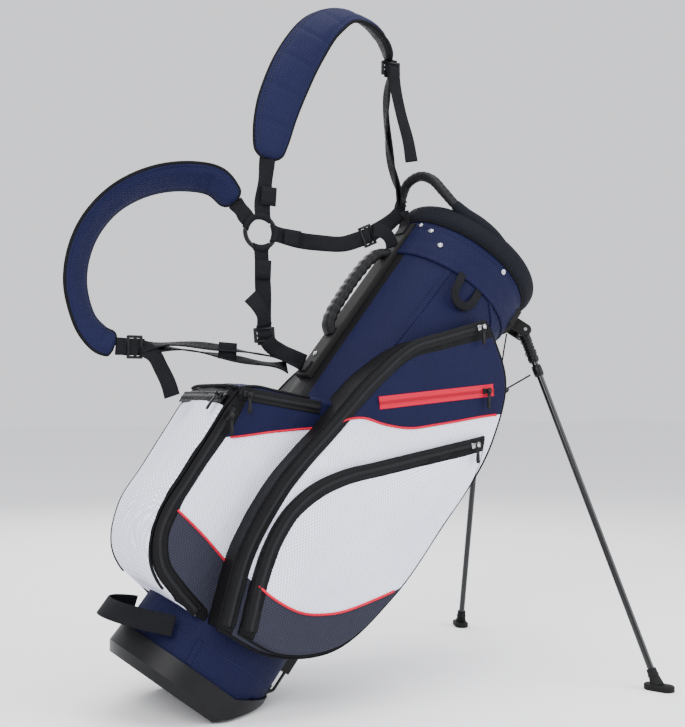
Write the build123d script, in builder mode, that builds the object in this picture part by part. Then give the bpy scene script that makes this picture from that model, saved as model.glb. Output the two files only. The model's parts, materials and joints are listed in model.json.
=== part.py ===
"""Golf stand bag, leaning on its two legs and its hinged ground plate.

The bag is drawn in its own frame: "fore" points from the spine to the legs, "reach" points from
the near side (-Y, with the panel pocket) to the far side, and "up" runs along the bag. That frame
leans by bag_lean, and nearly every sketch is placed by a plane of it. The world origin is the
middle of the ground plate's underside.
"""

import os
from math import cos, radians, sin, sqrt, tan

from build123d import *

# Driving dimensions, in millimetres and degrees
bag_lean = 38.0
base_radius = 118.0
top_radius = 122.0
tube_wall = 3.0
tube_top = 852.0
floor_height = 10.0
boot_flare = 7.0
boot_bevel = 10.0
boot_bevel_height = 14.0
boot_clearance = 0.3
boot_height = 44.0
boot_rise_fore = 35.0
soft_gap = 0.5

cuff_bottom = 792.0
cuff_thickness = 2.5
collar_height = 42.0
collar_wall = 5.0
rim_bottom = 853.0
rim_height = 36.0
rim_width = 26.0
rim_overhang = 13.0

divider_bottom = 112.0
divider_thickness = 3.0
divider_seam = 0.1
row_offset = 36.0
stay_radius = 4.0
stay_ring = 109.5

hinge_fore = 30.0
hinge_height = 5.0
plate_thickness = 4.0
plate_half_width = 62.0
plate_front_margin = 4.0
plate_pin_radius = 2.5
knuckle_radius = 4.6
running_gap = 0.08
moving_gap = 0.5

rod_fore = 128.0
rod_spread = 26.0
rod_radius = 2.5
bow_fore = 105.0
bow_bend_up = 90.0
yoke_pivot_up = 538.0
head_up = 740.5
guide_bottom = 122.0
guide_headroom = 12.0
guide_half_width = 33.0
notch_half_width = 42.0
notch_fore = 98.0
notch_top = 90.0
notch_wall = 4.0

leg_pivot_fore = 145.0
leg_pivot_reach = 55.0
leg_pivot_up = 828.0
leg_radius = 5.5
leg_wall = 1.2
leg_splay = (0.686, 0.355, 0.635)
leg_pin_radius = 3.0
leg_barrel_radius = 11.0
leg_barrel_width = 20.0
socket_radius = 9.5
socket_length = 58.0
socket_bore_start = 16.0
ear_radius = 11.0
ear_reach = 31.0
bracket_depth = 8.0
ear_thickness = 4.5
foot_height = 9.0
foot_radius = 10.0
foot_pad_length = 50.0
foot_pad_width = 26.0
link_eye_distance = 74.0
link_radius = 1.6
head_radius = 5.5
link_lug_reach = 22.0
lug_half = 2.5
lug_radius = 5.0
link_eye_radius = 3.6
head_pin_radius = 1.5
yoke_radius = 2.5
link_end_gap = 11.0
foot_sleeve = 34.0

pocket_reach = 146.0
pocket_inner_reach = 80.0
panel_reach = 157.0
ball_half_width = 99.0
tape_thickness = 1.6
tape_width = 15.0
slider_length = 16.0
slider_width = 9.0
slider_height = 6.0
pull_length = 32.0
pull_width = 7.0
pull_thickness = 2.0
post_radius = 1.6
slide_gap = 0.4
zip_start = 9.0
cross_zip_drop = 12.0

handle_half_width = 14.0
handle_radius = 7.5
webbing_thickness = 2.4
ring_radius = 26.0
ring_wire = 3.6

os.makedirs("parts", exist_ok=True)

# The leaning frame
lean = radians(bag_lean)
fore = Vector(cos(lean), 0, -sin(lean))
along = Vector(sin(lean), 0, cos(lean))
near = Vector(0, -1, 0)
plate_radius = base_radius + boot_flare - boot_bevel - plate_front_margin
plate_reach = plate_radius - hinge_fore
hinge_x = -plate_reach / 2
bag_origin = Vector(hinge_x, 0, hinge_height) - fore * hinge_fore - along * hinge_height
bag_frame = Plane(origin=bag_origin, x_dir=fore, z_dir=along)


def at(fore_mm, reach_mm, up_mm):
    """World point of a place in the bag's frame."""
    return bag_frame.from_local_coords(Vector(fore_mm, reach_mm, up_mm))


def way(fore_part, reach_part, up_part):
    """World direction of a direction in the bag's frame."""
    return fore * fore_part + Vector(0, reach_part, 0) + along * up_part


def level(up_mm):
    """Plane across the bag at a height along it."""
    return bag_frame.offset(up_mm)


def side(reach_mm):
    """Plane facing the near side, x fore and y up the bag, reach_mm out from the middle."""
    return Plane(origin=at(0, -reach_mm, 0), x_dir=fore, z_dir=near)


def ground_point(x, y, z):
    """World point measured from the plate's hinge line on the ground."""
    return Vector(hinge_x + x, y, z)


def tube_radius(up_mm):
    return base_radius + (top_radius - base_radius) * up_mm / tube_top


def finish(name, label):
    name.part.label = label
    export_step(name.part, f"parts/{label}.step")


def tube_solid(extra, bottom=-40.0, top=1000.0):
    """Solid as wide as the bag tube plus extra, for cutting what lies against it."""
    with BuildPart(mode=Mode.PRIVATE) as solid:
        with BuildSketch(level(bottom)):
            Circle(tube_radius(bottom) + extra)
        with BuildSketch(level(top)):
            Circle(tube_radius(top) + extra)
        loft()
    return solid.part


def half_space(height):
    """Block of everything under a height above the ground, ahead of the hinge."""
    with BuildPart(mode=Mode.PRIVATE) as block:
        with Locations((hinge_x + 300 - knuckle_radius - moving_gap, 0, height - 100)):
            Box(600, 600, 200)
    return block.part


# Ground plate, hinged under the front of the base
plate_clearance = plate_thickness + 0.8
with BuildPart() as ground_plate:
    with BuildSketch(Plane.XY):
        with Locations((hinge_x - hinge_fore, 0)):
            Circle(plate_radius)
        with Locations((hinge_x + 200, 0)):
            Rectangle(400, 2 * plate_half_width, mode=Mode.INTERSECT)
    extrude(amount=plate_thickness)
    with Locations(Location((hinge_x, 0, hinge_height), (90, 0, 0))):
        Cylinder(knuckle_radius, 2 * plate_half_width)
    with Locations((hinge_x, 0, -5)):
        Box(4 * knuckle_radius, 4 * plate_half_width, 10, mode=Mode.SUBTRACT)
    with Locations(Location((hinge_x, 0, hinge_height), (90, 0, 0))):
        Cylinder(plate_pin_radius + running_gap, 4 * plate_half_width, mode=Mode.SUBTRACT)
finish(ground_plate, "ground_plate")

with BuildPart() as plate_pin:
    with Locations(Location((hinge_x, 0, hinge_height), (90, 0, 0))):
        Cylinder(plate_pin_radius, 2 * plate_half_width + 18)
finish(plate_pin, "plate_pin")

# Base boot: a moulded cup whose front underside follows the plate, with a recess for the push rod
boot_floor_z = plate_clearance + 6.0
inner_radius = tube_radius(0) + boot_clearance
with BuildPart() as boot_hollow:
    with BuildSketch(level(floor_height)):
        Circle(inner_radius + 0.2)
    extrude(amount=160)
    with Locations((hinge_x + 260, 0, boot_floor_z - 100)):
        Box(600, 600, 200, mode=Mode.SUBTRACT)
    with BuildSketch(level(0)):
        with Locations((notch_fore - notch_wall + 100, 0)):
            Rectangle(200, 2 * (notch_half_width + notch_wall))
    extrude(amount=notch_top + notch_wall, mode=Mode.SUBTRACT)

boot_slope = Plane(origin=at(boot_rise_fore, 0, boot_height), x_dir=way(1, 0, 0.42), z_dir=way(-0.42, 0, 1))
with BuildPart() as above_boot:
    with BuildSketch(level(boot_height)):
        Circle(base_radius + 3 * boot_flare)
    extrude(amount=100)
    split(bisect_by=boot_slope, keep=Keep.TOP)

with BuildPart() as base_boot:
    with BuildSketch(level(0)):
        Circle(base_radius + boot_flare - boot_bevel)
    with BuildSketch(level(boot_bevel_height)):
        Circle(base_radius + boot_flare)
    with BuildSketch(level(95)):
        Circle(base_radius + 4)
    loft(ruled=True)
    add(above_boot.part, mode=Mode.SUBTRACT)
    with BuildSketch(level(30)):
        with Locations((notch_fore - notch_wall + 20, 0)):
            Rectangle(40, 2 * (notch_half_width + notch_wall))
        Circle(base_radius + 3, mode=Mode.INTERSECT)
    extrude(amount=notch_top + notch_wall - 30)
    add(boot_hollow.part, mode=Mode.SUBTRACT)
    add(half_space(plate_clearance), mode=Mode.SUBTRACT)
    with BuildSketch(level(-20)):
        with Locations((notch_fore + 50, 0)):
            Rectangle(100, 2 * notch_half_width)
    extrude(amount=notch_top + 20, mode=Mode.SUBTRACT)
    with Locations(Location((hinge_x, 0, hinge_height), (90, 0, 0))):
        Cylinder(knuckle_radius + moving_gap, 2 * (plate_half_width + moving_gap), mode=Mode.SUBTRACT)
        Cylinder(plate_pin_radius + 0.02, 2 * plate_half_width + 18.2, mode=Mode.SUBTRACT)
finish(base_boot, "base_boot")

# Bag tube: the stiffened fabric wall
with BuildPart() as bag_tube:
    with BuildSketch(level(floor_height + 0.5)):
        Circle(tube_radius(floor_height))
    with BuildSketch(level(tube_top)):
        Circle(tube_radius(tube_top))
    loft()
    with BuildSketch(level(floor_height)):
        Circle(tube_radius(floor_height) - tube_wall)
    with BuildSketch(level(tube_top + 1)):
        Circle(tube_radius(tube_top) - tube_wall)
    loft(mode=Mode.SUBTRACT)
    add(half_space(boot_floor_z + 0.4), mode=Mode.SUBTRACT)
    with BuildSketch(level(0)):
        with Locations((notch_fore - notch_wall - 0.5 + 50, 0)):
            Rectangle(100, 2 * (notch_half_width + notch_wall + 0.5))
    extrude(amount=notch_top + notch_wall + 0.5, mode=Mode.SUBTRACT)
finish(bag_tube, "bag_tube")

# Cuff, collar and padded rim
cuff_inner = tube_radius(tube_top) + 0.3
cuff_outer = cuff_inner + cuff_thickness
with BuildPart() as cuff_band:
    with BuildSketch(level(cuff_bottom)):
        Circle(cuff_outer)
        Circle(cuff_inner, mode=Mode.SUBTRACT)
    extrude(amount=tube_top - cuff_bottom)
finish(cuff_band, "cuff_band")

collar_outer = tube_radius(tube_top - collar_height) - tube_wall - 0.1
with BuildPart() as top_collar:
    with BuildSketch(level(tube_top - collar_height)):
        Circle(collar_outer)
        Circle(collar_outer - collar_wall, mode=Mode.SUBTRACT)
    extrude(amount=collar_height)
finish(top_collar, "top_collar")

rim_middle = top_radius + rim_overhang - rim_width / 2
with BuildPart() as rim_pad:
    with BuildSketch(side(0)):
        with Locations((rim_middle, rim_bottom + rim_height / 2)):
            RectangleRounded(rim_width, rim_height, rim_width * 0.45)
    revolve(axis=Axis(at(0, 0, 0), along))
finish(rim_pad, "rim_pad")

# Dividers: two cross walls and four short walls, sewn edge to face, make seven club slots
wall_radius = collar_outer - collar_wall - 0.4
divider_length = tube_top - divider_bottom
half_wall = divider_thickness / 2
with BuildPart(level(divider_bottom)) as dividers:
    cross_half = sqrt(wall_radius**2 - (row_offset + half_wall) ** 2)
    with Locations((-row_offset, 0, divider_length / 2), (row_offset, 0, divider_length / 2)):
        Box(divider_thickness, 2 * cross_half, divider_length)
    outer_length = wall_radius - 1 - row_offset - half_wall - divider_seam
    outer_middle = row_offset + half_wall + divider_seam + outer_length / 2
    with Locations((-outer_middle, 0, divider_length / 2), (outer_middle, 0, divider_length / 2)):
        Box(outer_length, divider_thickness, divider_length)
    with Locations((0, -row_offset, divider_length / 2), (0, row_offset, divider_length / 2)):
        Box(2 * (row_offset - half_wall - divider_seam), divider_thickness, divider_length)
finish(dividers, "dividers")

# Stays hold the collar away from the base
with BuildPart() as stay_rods:
    with BuildSketch(level(notch_top + 20)):
        with PolarLocations(stay_ring, 4, start_angle=45):
            Circle(stay_radius)
    extrude(amount=tube_top - collar_height - notch_top - 20)
finish(stay_rods, "stay_rods")

# Spine plate and ribbed grip down the back
spine_bottom = 516.0
spine_top = 846.0
spine_face = -(cuff_outer + 4.0)
with BuildPart() as spine_plate:
    with BuildSketch(level(spine_bottom)):
        with Locations((spine_face + 30, 0)):
            Rectangle(60, 44)
    extrude(amount=spine_top - spine_bottom)
    fillet(spine_plate.faces().sort_by(Axis(at(0, 0, 0), fore))[0].edges(), 3)
    add(tube_solid(boot_clearance), mode=Mode.SUBTRACT)
    with BuildSketch(level(cuff_bottom - soft_gap)):
        Circle(cuff_outer + 0.2)
    extrude(amount=200, mode=Mode.SUBTRACT)
finish(spine_plate, "spine_plate")

grip_outline = [(-0.05, 596), (-13, 604), (-28, 652), (-31, 722), (-23, 764), (-0.05, 784)]
grip_gap = [(6, 626), (-7, 630), (-14, 664), (-15, 718), (-9, 750), (6, 756)]


def spine_points(points):
    return [(spine_face + x, y) for x, y in points]


with BuildPart() as spine_handle:
    with BuildSketch(side(0)) as grip_profile:
        with BuildLine():
            Polyline(*spine_points(grip_outline), close=True)
        make_face()
        fillet(grip_profile.vertices().sort_by(Axis.X)[:4], 9)
        with BuildLine():
            Polyline(*spine_points(grip_gap), close=True)
        make_face(mode=Mode.SUBTRACT)
    extrude(amount=handle_half_width, both=True)
finish(spine_handle, "spine_handle")

# Lift handle: an arch from the back of the rim over to its top on the near side
arch_route = [
    at(-141, 34, 866),
    at(-153, 32, 893),
    at(-165, 22, 918),
    at(-162, -6, 930),
    at(-145, -36, 928),
    at(-120, -58, 914),
    at(-86, -80, 907),
    at(-86, -80, rim_bottom + rim_height + 0.2),
]
with BuildPart() as lift_handle:
    with BuildLine():
        FilletPolyline(*arch_route, radius=[10, 12, 14, 16, 16, 6])
    with BuildSketch(Plane(origin=arch_route[0], z_dir=arch_route[1] - arch_route[0])):
        Circle(handle_radius)
    sweep()
finish(lift_handle, "lift_handle")

# Rivets round the cuff and on the spine plate
rivet_radius = 4.0
rivet_height = 1.6


def cuff_plane(angle, up_mm):
    cosine, sine = cos(radians(angle)), sin(radians(angle))
    seat = cuff_outer + 0.02
    return Plane(origin=at(seat * cosine, seat * sine, up_mm), z_dir=way(cosine, sine, 0))


with BuildPart() as rivets:
    for angle, up_mm in ((196, 845), (209, 837), (223, 817), (276, 844), (164, 845), (137, 817), (84, 844)):
        with BuildSketch(cuff_plane(angle, up_mm)):
            Circle(rivet_radius)
        extrude(amount=rivet_height)
    for up_mm in (560, 806):
        with BuildSketch(Plane(origin=at(spine_face, 0, up_mm), z_dir=way(-1, 0, 0))):
            Circle(rivet_radius)
        extrude(amount=rivet_height)
finish(rivets, "rivets")

# Towel loop: a flat webbing U under the cuff on the near side
towel_reach = cuff_outer + 1.0
with BuildPart() as towel_loop:
    with BuildSketch(side(towel_reach)):
        with Locations((-24, cuff_bottom - 22)):
            SlotOverall(66, 52, rotation=90)
        with Locations((-24, cuff_bottom - 18)):
            SlotOverall(52, 24, rotation=90, mode=Mode.SUBTRACT)
        with Locations((-24, cuff_bottom + 30)):
            Rectangle(80, 60, mode=Mode.SUBTRACT)
    extrude(amount=3)
finish(towel_loop, "towel_loop")

# Grab loop: webbing round the back just above the boot
loop_middle = -74.0
loop_bottom = boot_height + 4.0
loop_height = 30.0
loop_radius = 94.0
with BuildPart() as grab_loop:
    with BuildSketch(level(loop_bottom)):
        with Locations((loop_middle, 0)):
            Circle(loop_radius)
            Circle(loop_radius - webbing_thickness, mode=Mode.SUBTRACT)
    extrude(amount=loop_height)
    add(tube_solid(boot_clearance), mode=Mode.SUBTRACT)
    with BuildSketch(level(loop_bottom - 1)):
        with Locations((100, 0)):
            Rectangle(200, 300)
    extrude(amount=loop_height + 2, mode=Mode.SUBTRACT)
finish(grab_loop, "grab_loop")

# Side pockets: a long gusseted pocket each side, with an outer panel pocket on the near one
long_zip = [(34, 748), (-60, 632), (-86, 556), (-100, 448), (-114, 320), (-102, 214), (-62, 108)]
front_edge = [(-62, 108), (30, 121), (110, 176), (152, 300), (160, 430), (156, 600), (118, 694), (34, 748)]
low_zip = [(134, 596), (-38, 404), (-70, 352), (-84, 300), (-80, 244), (-52, 160), (-34, 119)]
low_front = [(-34, 119), (34, 128), (108, 182), (148, 302), (155, 430), (150, 560), (134, 596)]


def pocket_outline(back, front):
    """Closed outline: straight top stretch of the zip, then two flowing edges."""
    Line(back[0], back[1])
    Spline(*back[1:], tangents=[Vector(*back[1]) - Vector(*back[0]), (1, -1.2)])
    Spline(*front, tangents=[(1, 0.1), (-1, 0.5)])


with BuildPart() as side_pocket:
    with BuildSketch(side(pocket_inner_reach)) as pocket_profile:
        with BuildLine():
            pocket_outline(long_zip, front_edge)
        make_face()
    extrude(amount=pocket_reach - pocket_inner_reach)
    chamfer(side_pocket.faces().sort_by(Axis.Y)[0].edges(), 5)
    add(tube_solid(soft_gap), mode=Mode.SUBTRACT)
    with BuildSketch(level(0)):
        with Locations((-160, -50)):
            Rectangle(200, 2 * (ball_half_width + soft_gap) - 100)
    extrude(amount=800, mode=Mode.SUBTRACT)
finish(side_pocket, "side_pocket_near")

with BuildPart() as side_pocket_far:
    mirror(side_pocket.part, about=Plane.XZ)
finish(side_pocket_far, "side_pocket_far")

with BuildPart() as panel_pocket:
    with BuildSketch(side(pocket_reach + 0.1)):
        with BuildLine():
            pocket_outline(low_zip, low_front)
        make_face()
    extrude(amount=panel_reach - pocket_reach - 0.1)
    chamfer(panel_pocket.faces().sort_by(Axis.Y)[0].edges(), 5)
finish(panel_pocket, "panel_pocket")

# Ball pocket on the back, with a sloping lid
ball_outline = [(-60, 492), (-104, 486), (-236, 414), (-240, 396), (-230, 250), (-222, 188), (-196, 136)]
ball_foot = [(-196, 136), (-170, 117), (-130, 110), (-60, 110)]
with BuildPart() as ball_pocket:
    with BuildSketch(side(0)):
        with BuildLine():
            Polyline(*ball_outline)
            Spline(*ball_foot)
            Line(ball_foot[-1], ball_outline[0])
        make_face()
    extrude(amount=ball_half_width, both=True)
    add(tube_solid(soft_gap), mode=Mode.SUBTRACT)
finish(ball_pocket, "ball_pocket")

# Zip tapes: flat ribbons on the outer faces
long_path = [(28, 738), (-49, 636), (-74, 552), (-88, 446), (-101, 320), (-90, 220), (-50, 122)]
low_path = [(129, 576), (-30, 397), (-59, 350), (-72, 300), (-68, 247), (-42, 170), (-26, 136)]
red_path = [(100, 662), (-48, 522)]
ball_path = [(-219, 372), (-209, 210), (-196, 165), (-166, 134), (-128, 124)]
lid_path = [(-224, 402), (-112, 463)]


def course(path, first, second):
    return Vector(*path[second]) - Vector(*path[first])


def tape(reach_mm, path):
    """Ribbon of tape on a face, straight for its first stretch."""
    with BuildPart(mode=Mode.PRIVATE) as ribbon:
        with BuildSketch(side(reach_mm)):
            with BuildLine() as route:
                Line(path[0], path[1])
                if len(path) > 2:
                    Spline(*path[1:], tangents=[course(path, 0, 1), course(path, -2, -1)])
            trace(route.line, line_width=tape_width)
        extrude(amount=tape_thickness)
    return ribbon.part


near_long_tape = tape(pocket_reach, long_path)
with BuildPart() as long_tapes:
    add(near_long_tape)
    mirror(near_long_tape, about=Plane.XZ)
finish(long_tapes, "long_zip_tapes")

with BuildPart() as panel_tape:
    add(tape(panel_reach, low_path))
finish(panel_tape, "panel_zip_tape")

with BuildPart() as red_tape:
    add(tape(pocket_reach, red_path))
finish(red_tape, "red_zip_tape")

ball_top = Vector(*ball_outline[3])
ball_drop = (Vector(*ball_outline[4]) - ball_top).normalized()
ball_down = way(ball_drop.X, 0, ball_drop.Y)
ball_out = way(ball_drop.Y, 0, -ball_drop.X)
cross_zip_centre = at(ball_top.X, 0, ball_top.Y) + ball_down * cross_zip_drop
near_ball_tape = tape(ball_half_width, ball_path)
with BuildPart() as ball_tapes:
    add(near_ball_tape)
    mirror(near_ball_tape, about=Plane.XZ)
    with BuildSketch(Plane(origin=cross_zip_centre, x_dir=Vector(0, 1, 0), z_dir=ball_out)):
        Rectangle(2 * ball_half_width - 4, tape_width)
    extrude(amount=tape_thickness)
finish(ball_tapes, "ball_zip_tapes")

with BuildPart() as lid_tape:
    add(tape(ball_half_width, lid_path))
finish(lid_tape, "lid_zip_tape")


# Zip sliders, each with a pull that swings on its post
def zip_pair(name, plane, hang):
    """Slider and pull on a tape. The plane's x runs along the zip and its z points outwards."""
    post_height = slide_gap + slider_height
    with BuildPart(plane) as slider:
        with Locations((0, 0, slide_gap + slider_height / 2)):
            Box(slider_length, slider_width, slider_height)
        with Locations((0, 0, post_height + (pull_thickness + 1.2) / 2)):
            Cylinder(post_radius, pull_thickness + 1.2)
        with Locations((0, 0, post_height + pull_thickness + 1.2 + 0.5)):
            Cylinder(post_radius + 1.2, 1)
    finish(slider, f"{name}_slider")
    seat = plane.origin + plane.z_dir * (post_height + 0.6)
    with BuildPart() as pull:
        with BuildSketch(Plane(origin=seat, x_dir=hang, z_dir=plane.z_dir)):
            with Locations((pull_length / 2 - 3.5, 0)):
                RectangleRounded(pull_length, pull_width, 2.5)
            Circle(post_radius + running_gap, mode=Mode.SUBTRACT)
        extrude(amount=pull_thickness)
    finish(pull, f"{name}_pull")


def zip_plane(reach_mm, path, distance):
    """Plane on a tape at a distance from its start, x along the zip."""
    along_zip = course(path, 0, 1).normalized()
    place = Vector(*path[0]) + along_zip * distance
    outward = near if reach_mm > 0 else -near
    return Plane(
        origin=at(place.X, -reach_mm, place.Y), x_dir=way(along_zip.X, 0, along_zip.Y), z_dir=outward
    )


down = Vector(0, 0, -1)
pocket_tape_face = pocket_reach + tape_thickness
ball_tape_face = ball_half_width + tape_thickness
cross_start = near * (ball_half_width - 22) + ball_out * tape_thickness
zip_planes = {
    "long_zip_near": (zip_plane(pocket_tape_face, long_path, zip_start), down),
    "long_zip_far": (zip_plane(-pocket_tape_face, long_path, zip_start), down),
    "panel_zip": (zip_plane(panel_reach + tape_thickness, low_path, zip_start), down),
    "red_zip": (zip_plane(pocket_tape_face, red_path, zip_start), down),
    "ball_zip_side": (zip_plane(ball_tape_face, ball_path, zip_start), down),
    "ball_zip_back": (
        Plane(origin=cross_zip_centre + cross_start, x_dir=Vector(0, 1, 0), z_dir=ball_out),
        ball_down,
    ),
    "lid_zip": (zip_plane(ball_tape_face, lid_path, zip_start), down),
}
for zip_name, (zip_place, hanging) in zip_planes.items():
    zip_pair(zip_name, zip_place, hanging)

# Push rod: two wires joined by a bow that stands on the plate and a bar that carries the yoke.
# It drops by rod_travel as the plate folds flush with the base.
bow_reach = bow_fore - hinge_fore
rod_travel = bow_reach * tan(lean)
bow_seat = plate_thickness + moving_gap + rod_radius
bow_up = hinge_height + (bow_seat - hinge_height + bow_reach * sin(lean)) / cos(lean)
rod_route = [
    at(rod_fore, -rod_spread, yoke_pivot_up),
    at(rod_fore, -rod_spread, bow_bend_up),
    at(bow_fore, -rod_spread, bow_up),
    at(bow_fore, rod_spread, bow_up),
    at(rod_fore, rod_spread, bow_bend_up),
    at(rod_fore, rod_spread, yoke_pivot_up),
]
yoke_plane = Plane(origin=at(rod_fore, 0, yoke_pivot_up), x_dir=fore, z_dir=near)
with BuildPart() as push_rod:
    with BuildLine():
        FilletPolyline(*rod_route, radius=7)
    with BuildSketch(Plane(origin=rod_route[0], z_dir=-along)):
        Circle(rod_radius)
    sweep()
    with BuildSketch(yoke_plane):
        Circle(rod_radius)
    extrude(amount=rod_spread, both=True)
finish(push_rod, "push_rod")

guide_top = yoke_pivot_up - rod_travel - guide_headroom
with BuildPart() as rod_guide:
    with BuildSketch(level(guide_bottom)):
        with Locations((rod_fore - 12, 0)):
            RectangleRounded(36, 2 * guide_half_width, 4)
        with Locations((rod_fore, -rod_spread), (rod_fore, rod_spread)):
            Circle(rod_radius + running_gap, mode=Mode.SUBTRACT)
    extrude(amount=guide_top - guide_bottom)
    add(tube_solid(boot_clearance), mode=Mode.SUBTRACT)
finish(rod_guide, "rod_guide")

# Legs: a moulded socket on an inclined pin, a thin tube and a rubber foot
splay_fore, splay_reach, splay_up = tuple(Vector(*leg_splay).normalized())


def leg_frame(sign):
    """Plane at a leg's pivot: x along the hinge pin, z down the opened leg."""
    pivot = at(leg_pivot_fore, sign * leg_pivot_reach, leg_pivot_up)
    pin_way = way(splay_reach, -sign * splay_fore, 0)
    return Plane(origin=pivot, x_dir=pin_way, z_dir=way(splay_fore, sign * splay_reach, -splay_up))


def make_leg(sign, end):
    frame = leg_frame(sign)
    ground_distance = -frame.origin.Z / frame.z_dir.Z
    with BuildPart(frame) as socket:
        with Locations(Location((0, 0, 0), (0, 90, 0))):
            Cylinder(leg_barrel_radius, leg_barrel_width)
        with Locations((0, 0, socket_length / 2)):
            Cylinder(socket_radius, socket_length)
        with Locations((0, 0, socket_bore_start + socket_length / 2)):
            Cylinder(leg_radius, socket_length, mode=Mode.SUBTRACT)
        with Locations(Location((0, 0, 0), (0, 90, 0))):
            Cylinder(leg_pin_radius + running_gap, 2 * leg_barrel_width, mode=Mode.SUBTRACT)
    finish(socket, f"leg_socket_{end}")
    tube_length = ground_distance - foot_height - socket_bore_start
    with BuildPart(frame) as leg_tube:
        with Locations((0, 0, socket_bore_start + tube_length / 2)):
            Cylinder(leg_radius, tube_length)
            Cylinder(leg_radius - leg_wall, tube_length, mode=Mode.SUBTRACT)
    finish(leg_tube, f"leg_tube_{end}")
    toe = frame.origin + frame.z_dir * ground_distance
    toe_way = Vector(frame.z_dir.X, frame.z_dir.Y, 0)
    with BuildPart() as foot:
        with BuildSketch(Plane(origin=toe, x_dir=toe_way, z_dir=Vector(0, 0, 1))):
            SlotOverall(foot_pad_length, foot_pad_width)
        extrude(amount=foot_height)
        with BuildSketch(Plane(origin=toe, z_dir=-frame.z_dir)):
            Circle(foot_radius)
        extrude(amount=foot_sleeve)
        with Locations((toe.X, toe.Y, -20)):
            Box(100, 100, 40, mode=Mode.SUBTRACT)
        with BuildSketch(Plane(origin=toe - frame.z_dir * foot_height, z_dir=-frame.z_dir)):
            Circle(leg_radius)
        extrude(amount=foot_sleeve, mode=Mode.SUBTRACT)
    finish(foot, f"leg_foot_{end}")


leg_ends = {"near": -1, "far": 1}
for end, sign in leg_ends.items():
    make_leg(sign, end)

ear_start = leg_barrel_width / 2 + moving_gap
with BuildPart() as leg_bracket:
    with BuildSketch(level(leg_pivot_up - 15)):
        Circle(cuff_outer + bracket_depth)
        with Locations((200, 0)):
            Rectangle(220, 150, mode=Mode.INTERSECT)
    extrude(amount=30)
    for sign in leg_ends.values():
        frame = leg_frame(sign)
        inward = way(-splay_fore, -sign * splay_reach, 0)
        for ear_side in (-1, 1):
            ear_face = frame.origin + frame.x_dir * (ear_side * ear_start)
            with BuildSketch(Plane(origin=ear_face, x_dir=inward, z_dir=frame.x_dir * ear_side)):
                Circle(ear_radius)
                with Locations((ear_reach / 2, 0)):
                    Rectangle(ear_reach, 2 * ear_radius)
            extrude(amount=ear_thickness)
        with BuildSketch(Plane(origin=frame.origin, z_dir=frame.x_dir)):
            Circle(leg_pin_radius + 0.02)
        extrude(amount=40, both=True, mode=Mode.SUBTRACT)
    with BuildSketch(level(0)):
        Circle(cuff_outer + 0.1)
    extrude(amount=1000, mode=Mode.SUBTRACT)
finish(leg_bracket, "leg_bracket")

with BuildPart() as leg_pins:
    for sign in leg_ends.values():
        frame = leg_frame(sign)
        with BuildSketch(Plane(origin=frame.origin, z_dir=frame.x_dir)):
            Circle(leg_pin_radius)
        extrude(amount=ear_start + ear_thickness + 1.5, both=True)
finish(leg_pins, "leg_pins")

# Yoke, rod head and spreader links
head_fore = leg_pivot_fore + link_eye_distance * splay_fore
head_point = at(head_fore, 0, head_up)
yoke_way = way(head_fore - rod_fore, 0, head_up - yoke_pivot_up)
yoke_length = yoke_way.length
yoke_way = yoke_way.normalized()
head_plane = Plane(origin=head_point, x_dir=fore, z_dir=near)
eye_radius = rod_radius + running_gap + 2.6
with BuildPart() as yoke:
    with BuildSketch(yoke_plane):
        Circle(eye_radius)
    extrude(amount=8, both=True)
    with BuildSketch(head_plane):
        Circle(eye_radius)
    extrude(amount=8, both=True)
    with BuildSketch(Plane(origin=yoke_plane.origin, z_dir=yoke_way)):
        Circle(yoke_radius)
    extrude(amount=yoke_length)
    for eye_plane in (yoke_plane, head_plane):
        with BuildSketch(eye_plane):
            Circle(rod_radius + running_gap)
        extrude(amount=10, both=True, mode=Mode.SUBTRACT)
finish(yoke, "rod_yoke")

with BuildPart() as rod_head:
    with BuildSketch(head_plane):
        Circle(rod_radius)
    extrude(amount=link_lug_reach - 5, both=True)
    for sign in leg_ends.values():
        with BuildSketch(head_plane.offset(-sign * (link_lug_reach - 7))):
            Circle(lug_radius)
        extrude(amount=-sign * 2.5)
        lug_centre = at(head_fore, sign * link_lug_reach, head_up)
        with BuildSketch(Plane(origin=lug_centre, z_dir=fore)):
            Circle(head_pin_radius)
        extrude(amount=lug_half + 2, both=True)
        for cheek in (-1, 1):
            with BuildSketch(Plane(origin=lug_centre + fore * (cheek * lug_half), z_dir=fore * cheek)):
                Circle(lug_radius)
            extrude(amount=2)
        with BuildSketch(Plane(origin=lug_centre, x_dir=Vector(0, -sign, 0), z_dir=fore)):
            with Locations((link_eye_radius + 0.4 + 1.25, 0)):
                Rectangle(2.5, 6)
        extrude(amount=lug_half + 2, both=True)
finish(rod_head, "rod_head")


def link_course(sign):
    """Start, direction and distance of a spreader link, from the head's lug to the leg."""
    start = at(head_fore, sign * link_lug_reach, head_up)
    frame = leg_frame(sign)
    run = frame.origin + frame.z_dir * link_eye_distance - start
    return start, run.normalized(), run.length


for end, sign in leg_ends.items():
    start, link_way, distance = link_course(sign)
    with BuildPart() as link:
        with BuildSketch(Plane(origin=start, z_dir=fore)):
            Circle(link_eye_radius)
        extrude(amount=lug_half - 0.3, both=True)
        with BuildSketch(Plane(origin=start, z_dir=link_way)):
            Circle(link_radius)
        extrude(amount=distance - leg_radius - link_end_gap)
        with BuildSketch(Plane(origin=start, z_dir=fore)):
            Circle(head_pin_radius + running_gap)
        extrude(amount=lug_half, both=True, mode=Mode.SUBTRACT)
    finish(link, f"spreader_link_{end}")

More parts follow.
